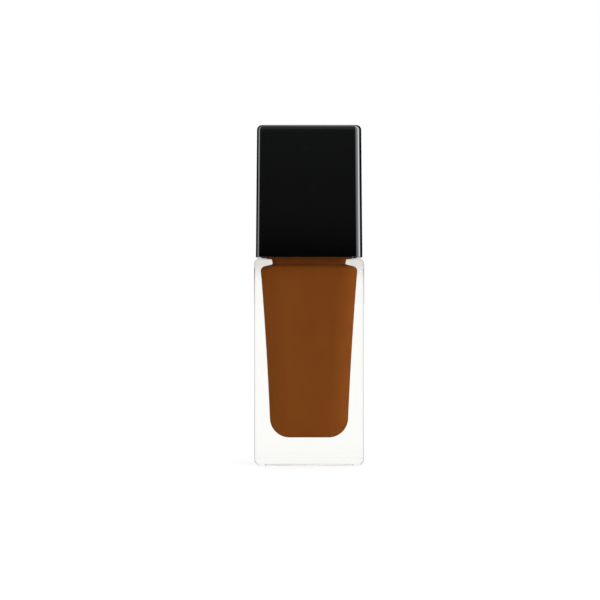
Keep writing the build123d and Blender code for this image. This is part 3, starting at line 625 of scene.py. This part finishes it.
def bore_levels():
    """Outlines from the lip down the bore and out across the dome's ceiling."""
    levels = rounded(round_level, NECK_BORE, NECK_TOP, LIP_ROUND, -LIP_ROUND, 5, TO_WALL)
    levels += rounded(round_level, NECK_BORE, DOME_TOP, BORE_TURN, BORE_TURN, 5, TO_LEVEL)
    return levels + rounded(
        spigot_level, SPIGOT_WALL, DOME_TOP, DOME_EDGE, -DOME_EDGE, 6, TO_WALL
    )


glass = stacked("bottle_glass", outer_levels() + bore_levels() + cavity_levels(DOME_WALL_TOP, 0.0))
print("glass faces before the thread", len(glass.data.polygons))


# %% [markdown]
# ### The screw thread
# A moulded glass thread is a low rounded ridge that winds round the neck and
# fades into it at both ends. It could be swept along a helix and joined on, but
# two glass skins that cross would look like a flaw, so the neck's own surface is
# pushed outward instead. Geometry Nodes suits this, because the ridge follows a
# rule: a point's height, less the pitch times its angle, says how far it is from
# the ridge's line. Points off the neck's wall are left where they are.

# %% Geometry Nodes helpers
def new_tree(name, sizes):
    """A geometry tree with a number for each size and a material, and its end sockets."""
    tree = bpy.data.node_groups.new(name, "GeometryNodeTree")
    tree.interface.new_socket("Geometry", in_out="INPUT", socket_type="NodeSocketGeometry")
    for label in sizes:
        tree.interface.new_socket(label, in_out="INPUT", socket_type="NodeSocketFloat")
    tree.interface.new_socket("Material", in_out="INPUT", socket_type="NodeSocketMaterial")
    tree.interface.new_socket("Geometry", in_out="OUTPUT", socket_type="NodeSocketGeometry")
    start = tree.nodes.new("NodeGroupInput")
    end = tree.nodes.new("NodeGroupOutput")
    return tree, start.outputs, end.inputs["Geometry"]


def close_tree(tree, shape, material, end):
    """Ends a geometry tree in Realize Instances and Set Material."""
    realize = tree.nodes.new("GeometryNodeRealizeInstances")
    link(tree, shape, realize.inputs[0])
    paint = tree.nodes.new("GeometryNodeSetMaterial")
    link(tree, realize.outputs[0], paint.inputs["Geometry"])
    link(tree, material, paint.inputs["Material"])
    link(tree, paint.outputs[0], end)
    print(tree.name, "tree has", len(tree.nodes), "nodes")


def run_tree(piece, tree, **values):
    """Runs a geometry tree on a piece with its own values, and keeps the plain mesh."""
    modifier = piece.modifiers.new(tree.name, "NODES")
    modifier.node_group = tree
    labels = {item.name: item.identifier for item in tree.interface.items_tree}
    for name, value in values.items():
        modifier[labels[name.replace("_", " ")]] = value
    return plain(piece)


# %% The helical ridge tree
ridge_tree, given, ridge_out = new_tree(
    "helical_ridge",
    ["Height", "Pitch", "Start", "Lead", "Turns", "Root Width", "Crest Width", "Wall Radius"],
)
place = ridge_tree.nodes.new("ShaderNodeSeparateXYZ")
link(ridge_tree, ridge_tree.nodes.new("GeometryNodeInputPosition").outputs[0], place.inputs[0])
angle = math_node(ridge_tree, "ARCTAN2", place.outputs["Y"], place.outputs["X"])
turned = math_node(ridge_tree, "DIVIDE", angle, 2 * math.pi)
from_lead = math_node(ridge_tree, "SUBTRACT", turned, given["Lead"])
winding = math_node(ridge_tree, "WRAP", from_lead, 1.0)
rise = math_node(ridge_tree, "SUBTRACT", place.outputs["Z"], given["Start"])
climbed = math_node(ridge_tree, "DIVIDE", rise, given["Pitch"])
nearest = math_node(ridge_tree, "ROUND", math_node(ridge_tree, "SUBTRACT", climbed, winding))
along = math_node(ridge_tree, "ADD", nearest, winding)
away = math_node(ridge_tree, "ABSOLUTE", math_node(ridge_tree, "SUBTRACT", climbed, along))
distance = math_node(ridge_tree, "MULTIPLY", away, given["Pitch"])
root_half = math_node(ridge_tree, "DIVIDE", given["Root Width"], 2.0)
crest_half = math_node(ridge_tree, "DIVIDE", given["Crest Width"], 2.0)
flank = ramp_node(ridge_tree, distance, crest_half, root_half, 1.0, 0.0)
fade_in = ramp_node(ridge_tree, along, 0.0, 0.12)
left = math_node(ridge_tree, "SUBTRACT", given["Turns"], along)
fade_out = ramp_node(ridge_tree, left, 0.0, 0.12)
fade = math_node(ridge_tree, "MULTIPLY", fade_in, fade_out)
shape = math_node(ridge_tree, "MULTIPLY", flank, fade)
radius_x = math_node(ridge_tree, "POWER", place.outputs["X"], 2.0)
radius_y = math_node(ridge_tree, "POWER", place.outputs["Y"], 2.0)
radius = math_node(ridge_tree, "SQRT", math_node(ridge_tree, "ADD", radius_x, radius_y))
from_wall = math_node(ridge_tree, "SUBTRACT", radius, given["Wall Radius"])
off_wall = math_node(ridge_tree, "ABSOLUTE", from_wall)
on_wall = math_node(ridge_tree, "LESS_THAN", off_wall, 0.02 * MM)
wall_shape = math_node(ridge_tree, "MULTIPLY", shape, on_wall)
push = math_node(ridge_tree, "MULTIPLY", given["Height"], wall_shape)
outward = ridge_tree.nodes.new("ShaderNodeCombineXYZ")
link(ridge_tree, math_node(ridge_tree, "COSINE", angle), outward.inputs["X"])
link(ridge_tree, math_node(ridge_tree, "SINE", angle), outward.inputs["Y"])
offset = ridge_tree.nodes.new("ShaderNodeVectorMath")
offset.operation = "SCALE"
link(ridge_tree, outward.outputs[0], offset.inputs[0])
link(ridge_tree, push, offset.inputs["Scale"])
move = ridge_tree.nodes.new("GeometryNodeSetPosition")
link(ridge_tree, given["Geometry"], move.inputs["Geometry"])
link(ridge_tree, offset.outputs[0], move.inputs["Offset"])
close_tree(ridge_tree, move.outputs[0], given["Material"], ridge_out)

# %% Wind the thread on the neck
glass_material = clear_glass()
run_tree(
    glass,
    ridge_tree,
    Height=0.93 * MM,
    Pitch=THREAD_PITCH,
    Start=SPIGOT_TOP + 4.0 * MM,
    Lead=0.0,
    Turns=1.6,
    Root_Width=1.9 * MM,
    Crest_Width=0.5 * MM,
    Wall_Radius=NECK_R,
    Material=glass_material,
)
settle(glass, 60)
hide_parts("glass_bottle")
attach(glass, "bottle")
print("glass faces", len(glass.data.polygons))

# %% [markdown]
# ## The make-up
# Foundation is an opaque, pigment-rich emulsion that wets the glass. Where glass
# and liquid meet there is no film of air, so the liquid's skin is grown a hair
# into the glass: a ray then leaves the glass straight into the brown, with no
# mirror-like sheen between them. For the same reason the liquid itself has no
# specular of its own, and its colour drifts only a little, as pigment settles.
# In the dome its colour is painted lighter, where only a thin layer lies round
# the pump: painted light, against the shade that the overcap throws there. Its
# surface is dished: it climbs the glass at the rim, and it leaves wells round
# the pump's barrel and the tube, which move through it.

# %% Make-up material and piece
LIQUID_BROWN = (0.238, 0.069, 0.0121)
LIQUID_DEEP = (0.224, 0.0638, 0.0107)
LIQUID_DOME_LIGHT = (0.37, 0.122, 0.025)
DOME_LIGHT_BAND = (NOSE_Z - 1.6 * MM, NOSE_Z - 0.5 * MM)


def liquid_make_up():
    material, tree, shader, place = new_material(
        "liquid_make_up",
        LIQUID_BROWN,
        Roughness=0.5,
        Specular_IOR_Level=0.0,
        Subsurface_Weight=0.25,
        Subsurface_Scale=0.4 * MM,
        Subsurface_Radius=(1.0, 0.35, 0.15),
    )
    folds = stretch_node(tree, place, (1.0, 1.0, 0.45), (0.3, 0.2, 0.0))
    drift = ramp_node(tree, noise_node(tree, folds, 55.0, 4.0, 0.55), 0.35, 0.7)
    body = blend_colour(tree, shader, drift, LIQUID_BROWN, LIQUID_DEEP)
    # Painted light: the make-up's colour is lifted in the dome, against the overcap's shade.
    dome_light_mask = ramp_node(tree, height_of(tree, place), *DOME_LIGHT_BAND)
    blend_colour(tree, shader, dome_light_mask, body, LIQUID_DOME_LIGHT)
    return material


# The dish ends at the rim, where the cavity's first outline takes over.
INTO_GLASS = 0.02 * MM
surface = dish_levels(INTO_GLASS)[:-1]
liquid = stacked("make_up", surface + cavity_levels(FILL_LEVEL, INTO_GLASS))
liquid.data.materials.append(liquid_make_up())
settle(liquid, 60)
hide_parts("foundation_fill")
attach(liquid, "bottle")
print("make-up level at", round(FILL_LEVEL / MM, 1), "mm")


# %% [markdown]
# ## The overcap
# The overcap is injection moulded in a glossy black resin, with half a degree of
# draft so that it leaves its mould, crisp rounded edges and a rim left almost
# sharp. Its shine is what the eye reads, so the long edges are true arcs, and
# the finish stays almost mirror smooth apart from faint handling marks. A box
# with a Bevel would do for the outside, but one stack of outlines makes the
# hollow, the rim and the drafted walls together. Rows of faces lie close
# together above the rim, to keep the shading flat there.

# %% Glossy black material
BLACK = (0.0006, 0.0006, 0.0007)


def gloss_black():
    material, tree, shader, place = new_material(
        "gloss_black", BLACK, IOR=1.5, Specular_Tint=(0.94, 0.97, 1.0, 1.0)
    )
    touch = place_group(
        tree, handling, place, Base_Roughness=0.035, Smudge=0.05, Rubs=0.07, Scale=48.0
    )
    link(tree, touch["Roughness"], shader.inputs["Roughness"])
    specks = place_group(tree, dust, place, Scale=700.0, Amount=0.002)
    blend_colour(tree, shader, specks["Mask"], BLACK, (0.01, 0.01, 0.01))
    wavy = place_group(tree, skin, place, Wave_Scale=60.0, Peel_Scale=3000.0, Peel=0.04)
    bump(tree, shader, wavy["Height"], 0.12, 0.02 * MM)
    return material


# %% Stack the overcap's shell
CAP_ROWS = 30


def cap_level(inset, z):
    """Outline of the overcap's outside at z, drawn in by inset."""
    step = inset + (z - CAP_BOTTOM) * math.tan(CAP_DRAFT)
    return CAP_X - step, CAP_Y - step, max(CAP_EDGE - inset, 0.5 * MM), z


def cap_levels():
    """Outlines from the ceiling down the inner wall, round the rim and up to the top."""
    roof = CAP_TOP - CAP_ROOF
    levels = rounded(cap_level, CAP_WALL, roof, CAP_INNER_ROUND, -CAP_INNER_ROUND, 4, TO_WALL)
    levels += rounded(cap_level, CAP_WALL, CAP_BOTTOM, -CAP_LIP, CAP_LIP, 5, TO_LEVEL)
    levels += rounded(cap_level, 0.0, CAP_BOTTOM, CAP_LIP, CAP_LIP, 6, TO_WALL)
    low, high = CAP_BOTTOM + CAP_LIP, CAP_TOP - CAP_TOP_ROUND
    for step in (0.02, 0.1, 0.4):
        levels.append(cap_level(0.0, low + step * MM))
    for i in range(1, CAP_ROWS):
        levels.append(cap_level(0.0, low + (high - low) * i / CAP_ROWS))
    return levels + rounded(cap_level, 0.0, CAP_TOP, CAP_TOP_ROUND, -CAP_TOP_ROUND, 12, TO_LEVEL)


gloss = gloss_black()
overcap = stacked("overcap", cap_levels())
overcap.data.materials.append(gloss)
settle(overcap, 50)
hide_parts("overcap_shell")
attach(overcap, "overcap")
print("overcap faces", len(overcap.data.polygons))


# %% [markdown]
# ## The pump and the fittings
# The pump's pieces are turned or moulded shapes that the mechanical model
# already has right, so each gets a welded, smoothly shaded copy and the finish
# of its own resin or metal. Two copies change a little. The base label becomes
# a film just under the glass, because a thick one throws a dark edge. The stem
# is slimmed by a hair, so that its facets clear the button's when that turns.

# %% Finishes under the overcap
def moulded(name, colour, roughness, **sockets):
    """A moulded resin with a fine spark-eroded skin."""
    material, tree, shader, place = new_material(name, colour, **sockets)
    touch = place_group(
        tree, handling, place, Base_Roughness=roughness, Smudge=0.06, Rubs=0.05, Scale=120.0
    )
    link(tree, touch["Roughness"], shader.inputs["Roughness"])
    grain = place_group(tree, skin, place, Wave_Scale=300.0, Peel_Scale=5200.0, Peel=0.8)
    bump(tree, shader, grain["Height"], 0.2, 0.02 * MM)
    return material


def bright_metal(name, colour, roughness, squeeze):
    """A drawn metal with faint marks round its axis."""
    material, tree, shader, place = new_material(name, colour, Metallic=1.0)
    lines = stretch_node(tree, place, squeeze)
    streak = noise_node(tree, lines, 900.0, 2.0, 0.6)
    rough = ramp_node(tree, streak, 0.3, 0.7, roughness, roughness + 0.12)
    link(tree, rough, shader.inputs["Roughness"])
    bump(tree, shader, streak, 0.15, 0.01 * MM)
    return material


satin_black = moulded("satin_black", (0.012, 0.012, 0.013), 0.38)
natural_resin = moulded(
    "natural_resin",
    (0.74, 0.75, 0.72),
    0.32,
    Subsurface_Weight=0.6,
    Subsurface_Scale=1.2 * MM,
    Subsurface_Radius=(1.0, 1.0, 0.9),
)
soft_white = moulded("soft_white", (0.8, 0.8, 0.78), 0.5)
black_metal = bright_metal("black_metal", (0.03, 0.03, 0.033), 0.1, (1.0, 1.0, 0.02))
steel = bright_metal("steel", (0.62, 0.61, 0.59), 0.15, (1.0, 1.0, 1.0))
label_film = moulded("label_film", (0.98, 0.95, 0.94), 0.5, Transmission_Weight=0.25, IOR=1.06)
print("materials so far", len(bpy.data.materials))

# %% Dress the fittings
LABEL_FILM = 0.04 * MM
LABEL_AIR = 0.02 * MM
STEM_SLACK = 0.985
FITTINGS = (
    ("base_label", "bottle", label_film, "label_film"),
    ("neck_gasket", "pump_core", soft_white, "white_seal"),
    ("stem_wiper", "pump_core", soft_white, "white_seal"),
    ("pump_housing", "pump_core", natural_resin, "natural_moulding"),
    ("pump_retainer", "pump_core", natural_resin, "natural_moulding"),
    ("dip_tube", "pump_core", natural_resin, "natural_moulding"),
    ("pump_stem", "plunger", natural_resin, "natural_moulding"),
    ("piston_poppet", "plunger", natural_resin, "natural_moulding"),
    ("piston", "piston", soft_white, "white_seal"),
    ("check_ball", "inlet_ball", steel, "steel"),
    ("screw_collar", "collar", satin_black, "black_moulding"),
    ("collar_sleeve", "collar", black_metal, "black_anodised"),
    ("actuator_shell", "actuator", gloss, "black_gloss"),
    ("actuator_core", "actuator", satin_black, "black_moulding"),
    ("nozzle_insert", "actuator", satin_black, "black_moulding"),
    ("overcap_liner", "overcap", satin_black, "black_moulding"),
)
for node, body, finish, slot in FITTINGS:
    piece = dressed(node, node + "_finished")
    if node == "base_label":
        thin = LABEL_FILM / (LABEL_TOP - LABEL_BOTTOM)
        under_glass = Matrix.Translation((0.0, 0.0, (1 - thin) * LABEL_TOP - LABEL_AIR))
        piece.data.transform(under_glass @ Matrix.Diagonal((1.0, 1.0, thin, 1.0)))
    if node == "pump_stem":
        piece.data.transform(Matrix.Diagonal((STEM_SLACK, STEM_SLACK, 1.0, 1.0)))
    piece.data.materials.append(finish)
    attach(piece, body)
print("fittings dressed", len(FITTINGS))

# %% [markdown]
# ### The return spring
# The spring is steel wire coiled cold, with its last coils wound almost shut so
# that each end sits flat. It could be a Screw modifier on a small circle, but
# that can't change pitch on the way. In Geometry Nodes a spiral is drawn first,
# its points are raised by a rule with two slow ends and a fast middle, and the
# wire's circle is swept along it.

# %% The coil spring tree
coil_tree, given, coil_out = new_tree(
    "coil_spring",
    ["Coil Radius", "Wire Radius", "Bottom", "Top", "Turns", "Shut Turns"],
)
spiral = coil_tree.nodes.new("GeometryNodeCurveSpiral")
spiral.inputs["Resolution"].default_value = 40
link(coil_tree, given["Turns"], spiral.inputs["Rotations"])
link(coil_tree, given["Coil Radius"], spiral.inputs["Start Radius"])
link(coil_tree, given["Coil Radius"], spiral.inputs["End Radius"])
done = coil_tree.nodes.new("GeometryNodeSplineParameter").outputs["Factor"]
shut = math_node(coil_tree, "DIVIDE", given["Shut Turns"], given["Turns"])
open_end = math_node(coil_tree, "SUBTRACT", 1.0, shut)
wire = math_node(coil_tree, "MULTIPLY", given["Wire Radius"], 2.0)
shut_rise = math_node(coil_tree, "MULTIPLY", wire, given["Shut Turns"])
length = math_node(coil_tree, "SUBTRACT", given["Top"], given["Bottom"])
travel = math_node(coil_tree, "SUBTRACT", length, wire)
both_ends = math_node(coil_tree, "MULTIPLY", shut_rise, 2.0)
open_rise = math_node(coil_tree, "SUBTRACT", travel, both_ends)
climb = math_node(coil_tree, "ADD", given["Bottom"], given["Wire Radius"])
for begin, finish, gain in (
    (0.0, shut, shut_rise),
    (shut, open_end, open_rise),
    (open_end, 1.0, shut_rise),
):
    part = ramp_node(coil_tree, done, begin, finish, 0.0, gain, False)
    climb = math_node(coil_tree, "ADD", climb, part)
flat_place = coil_tree.nodes.new("ShaderNodeSeparateXYZ")
link(coil_tree, coil_tree.nodes.new("GeometryNodeInputPosition").outputs[0], flat_place.inputs[0])
raised = coil_tree.nodes.new("ShaderNodeCombineXYZ")
link(coil_tree, flat_place.outputs["X"], raised.inputs["X"])
link(coil_tree, flat_place.outputs["Y"], raised.inputs["Y"])
link(coil_tree, climb, raised.inputs["Z"])
wound = coil_tree.nodes.new("GeometryNodeSetPosition")
link(coil_tree, spiral.outputs[0], wound.inputs["Geometry"])
link(coil_tree, raised.outputs[0], wound.inputs["Position"])
round_wire = coil_tree.nodes.new("GeometryNodeCurvePrimitiveCircle")
round_wire.inputs["Resolution"].default_value = 16
link(coil_tree, given["Wire Radius"], round_wire.inputs["Radius"])
swept = coil_tree.nodes.new("GeometryNodeCurveToMesh")
swept.inputs["Fill Caps"].default_value = True
link(coil_tree, wound.outputs[0], swept.inputs["Curve"])
link(coil_tree, round_wire.outputs["Curve"], swept.inputs["Profile Curve"])
close_tree(coil_tree, swept.outputs[0], given["Material"], coil_out)

# %% Wind the spring and hang it on the pump core
SPRING_WIRE = 0.3 * MM
spring = add_object("return_coil", bpy.data.meshes.new("return_coil"))
run_tree(
    spring,
    coil_tree,
    Coil_Radius=SPRING_R - SPRING_WIRE,
    Wire_Radius=SPRING_WIRE,
    Bottom=SPRING_BOTTOM,
    Top=SPRING_TOP,
    Turns=5.5,
    Shut_Turns=0.75,
    Material=steel,
)
settle(spring, 60)
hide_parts("return_spring")
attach(spring, "pump_core")
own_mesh(spring)


# %% [markdown]
# ## The studio
# A clear bottle on white wants light from all round, and a glossy black cap
# wants the opposite: dark in front, with bright strips beside it to draw its
# edges. A real studio does both with cards and flags. Lamps and cards could be
# built here too, but they would show through the glass. So the floor and the
# sky answer each kind of ray in its own way: a ray mirrored outside the glass
# sees a dark room with strips, light for matt surfaces comes from a soft sky
# with a bright side, and all other rays see white.

# %% Tell rays apart and choose between two values
def ray_masks(tree):
    """Light Path outputs, and masks of rays bounced off matt and mirrored outside the glass."""
    rays = tree.nodes.new("ShaderNodeLightPath").outputs
    bounced = math_node(tree, "GREATER_THAN", rays["Diffuse Depth"], 0.5)
    outside = math_node(tree, "LESS_THAN", rays["Transmission Depth"], 0.5)
    mirrored = math_node(tree, "MULTIPLY", rays["Is Glossy Ray"], outside)
    return rays, bounced, mirrored


def choose(tree, mask, off, on):
    """off where the mask is 0, on where it is 1."""
    node = tree.nodes.new("ShaderNodeMix")
    node.data_type = "FLOAT"
    feed(tree, mask, node.inputs["Factor"])
    feed(tree, off, node.inputs["A"])
    feed(tree, on, node.inputs["B"])
    return node.outputs["Result"]


# %% [markdown]
# ### The floor
# The floor is partly a light table. A share of it is matt white, and shows the
# soft shadow; the rest glows, and stays white under the glass. The glow that it
# sends up to matt surfaces is strong close by and weak a few millimetres away,
# so that the label stays bright while the make-up's underside keeps its depth.
# In a mirror the floor is almost black near the bottle and greyer far away,
# which is what the front of a black cap shows.

# %% Floor
FLOOR_WHITE = (0.96, 0.96, 0.96)
FLOOR_HALF = 30.0
FLOOR_GLOW = 0.7
GLOW_SEEN = 1.02
GLOW_NEAR, GLOW_FAR = 1.3, 0.4
MIRROR_NEAR, MIRROR_FAR = 0.02, 0.5


def floor_material():
    material, tree, shader, place = new_material("white_sweep", FLOOR_WHITE, Roughness=0.6)
    drift = noise_node(tree, place, 4.0, 2.0)
    blend_colour(tree, shader, drift, (0.945, 0.945, 0.945), (0.955, 0.955, 0.955))
    rays, bounced, mirrored = ray_masks(tree)
    glow = tree.nodes.new("ShaderNodeEmission")
    reach = rays["Ray Length"]
    thrown_up = ramp_node(tree, reach, 2.5 * MM, 5 * MM, GLOW_NEAR, GLOW_FAR)
    link(tree, choose(tree, bounced, GLOW_SEEN, thrown_up), glow.inputs["Strength"])
    lit_table = tree.nodes.new("ShaderNodeMixShader")
    lit_table.inputs[0].default_value = FLOOR_GLOW
    link(tree, shader.outputs[0], lit_table.inputs[1])
    link(tree, glow.outputs[0], lit_table.inputs[2])
    from_middle = tree.nodes.new("ShaderNodeVectorMath")
    from_middle.operation = "LENGTH"
    link(tree, place, from_middle.inputs[0])
    in_mirror = tree.nodes.new("ShaderNodeEmission")
    away = from_middle.outputs["Value"]
    dark = ramp_node(tree, away, 0.05, 0.8, MIRROR_NEAR, MIRROR_FAR)
    link(tree, dark, in_mirror.inputs["Strength"])
    either = tree.nodes.new("ShaderNodeMixShader")
    link(tree, mirrored, either.inputs[0])
    link(tree, lit_table.outputs[0], either.inputs[1])
    link(tree, in_mirror.outputs[0], either.inputs[2])
    link(tree, either.outputs[0], tree.nodes["Material Output"].inputs["Surface"])
    return material


floor_mesh = bpy.data.meshes.new("floor")
signs = ((-1, -1), (1, -1), (1, 1), (-1, 1))
corners = [(x * FLOOR_HALF, y * FLOOR_HALF, 0) for x, y in signs]
floor_mesh.from_pydata(corners, [], [(0, 1, 2, 3)])
floor_mesh.materials.append(floor_material())
floor = add_object("floor", floor_mesh)
print("floor", 2 * FLOOR_HALF, "m square")


# %% [markdown]
# ### The sky
# The sky's brightness depends on direction only. For mirrors it is dark, with a
# faint horizon that brightens upwards, a soft light overhead, a dark back, and
# strips: two on the right that overlap, so that the cap's right edge fades
# inwards, a crisp one on the left, and one behind. For matt surfaces it is
# bright on the right and in front and dim on the left, which rounds the make-up.

# %% Sky
def dot_node(tree, vector, direction):
    """How far a direction points along another, as a Vector Math node's value."""
    node = tree.nodes.new("ShaderNodeVectorMath")
    node.operation = "DOT_PRODUCT"
    link(tree, vector, node.inputs[0])
    node.inputs[1].default_value = direction
    return node.outputs["Value"]


def strip(tree, level, bearing, wide, soft, strength):
    """A tall strip light at a bearing in degrees from the front, towards +X."""
    turn = math.radians(bearing)
    facing = dot_node(tree, level, (math.sin(turn), -math.cos(turn), 0.0))
    edge, core = math.cos(math.radians(wide + soft)), math.cos(math.radians(wide))
    return math_node(tree, "MULTIPLY", ramp_node(tree, facing, edge, core), strength)


# Bearing, half width and soft edge in degrees, and brightness.
STRIPS = (
    (65.0, 6.0, 9.0, 11.0),
    (50.0, 6.0, 41.0, 4.4),
    (-80.0, 11.0, 4.0, 4.6),
    (180.0, 12.0, 8.0, 2.4),
)
WHITE_SKY = 1.0

world = bpy.data.worlds.new("studio")
bpy.context.scene.world = world
world.use_nodes = True
world.cycles.sampling_method = "NONE"
sky = world.node_tree
sky.nodes.clear()
direction = sky.nodes.new("ShaderNodeTexCoord").outputs["Generated"]
flat = stretch_node(sky, direction, (1.0, 1.0, 0.0))
unit = sky.nodes.new("ShaderNodeVectorMath")
unit.operation = "NORMALIZE"
link(sky, flat, unit.inputs[0])
level = unit.outputs["Vector"]
parts = sky.nodes.new("ShaderNodeSeparateXYZ")
link(sky, direction, parts.inputs[0])
side, height = parts.outputs["X"], parts.outputs["Z"]
ahead = math_node(sky, "MULTIPLY", parts.outputs["Y"], -1.0)

# %% The sky that mirrors see
horizon = ramp_node(sky, height, 0.034, 0.048, 0.002, 0.07)
upwards = ramp_node(sky, height, 0.03, 0.3, 0.0, 0.4, False)
mirror = math_node(sky, "ADD", horizon, upwards)
overhead = ramp_node(sky, height, 0.62, 0.85)
top = math_node(sky, "MULTIPLY", overhead, ramp_node(sky, side, -0.6, 0.5, 0.1, 0.36))
mirror = math_node(sky, "ADD", mirror, top)
mirror = math_node(sky, "MULTIPLY", mirror, ramp_node(sky, ahead, -0.45, 0.25, 0.1, 1.0))
for bearing, wide, soft, strength in STRIPS:
    light = strip(sky, level, bearing, wide, soft, strength)
    mirror = math_node(sky, "ADD", mirror, light)
print("strips in the sky", len(STRIPS))

# %% The sky that lights matt surfaces, and the choice between the three
lit = ramp_node(sky, side, 0.35, 1.0, 0.92, 2.45)
lit = math_node(sky, "MULTIPLY", lit, ramp_node(sky, side, -1.0, 0.0, 0.7, 1.0, False))
lit = math_node(sky, "ADD", lit, ramp_node(sky, ahead, 0.2, 1.0, 0.0, 0.55))
_, bounced, mirrored = ray_masks(sky)
seen = choose(sky, mirrored, WHITE_SKY, mirror)
background = sky.nodes.new("ShaderNodeBackground")
background.inputs["Color"].default_value = (1.0, 1.0, 1.0, 1.0)
link(sky, choose(sky, bounced, seen, lit), background.inputs["Strength"])
out = sky.nodes.new("ShaderNodeOutputWorld")
link(sky, background.outputs[0], out.inputs["Surface"])

# %% [markdown]
# ### Exposure and light paths
# The plain Standard view shows colours as they are, so white stays white. A ray
# crosses the glass, the spigot and the neck many times before it is through,
# and each crossing is a bounce, so the limits are high.

# %% Exposure and light paths
scene = bpy.context.scene
scene.view_settings.view_transform = "Standard"
scene.view_settings.look = "None"
scene.cycles.max_bounces = 24
scene.cycles.transmission_bounces = 20
scene.cycles.glossy_bounces = 8
scene.cycles.diffuse_bounces = 4
scene.cycles.use_denoising = True
print("light bounces", scene.cycles.max_bounces)

# %% [markdown]
# ## The camera
# The picture is taken square on, from the height of the bottle's middle and from
# well back with a long lens, so that its sides stay upright and the front looks
# flat. The distance follows from the lens and from how much of the frame's
# height the bottle should fill. Two small shares of that height set the camera
# a little left of the bottle and a little below its middle.

# %% Camera
HEIGHT_SHARE = 0.5685
STAND_LEFT = 0.0152
STAND_LOW = 0.0082
LENS = 150.0
SENSOR = 36.0
camera_data = bpy.data.cameras.new("camera")
camera_data.lens = LENS
camera_data.sensor_width = SENSOR
camera = bpy.data.objects.new("camera", camera_data)
scene.collection.objects.link(camera)
frame_span = (cad_high[2] - cad_low[2]) / HEIGHT_SHARE
distance = frame_span * LENS / SENSOR
front = -BODY_Y + BODY_EDGE
middle = (cad_high[2] + cad_low[2]) / 2
camera.location = Vector((
    -STAND_LEFT * frame_span,
    front - distance,
    middle - STAND_LOW * frame_span,
))
camera.rotation_euler = (math.radians(90), 0.0, 0.0)
scene.camera = camera
print("camera stands", round(distance, 3), "m from the front")
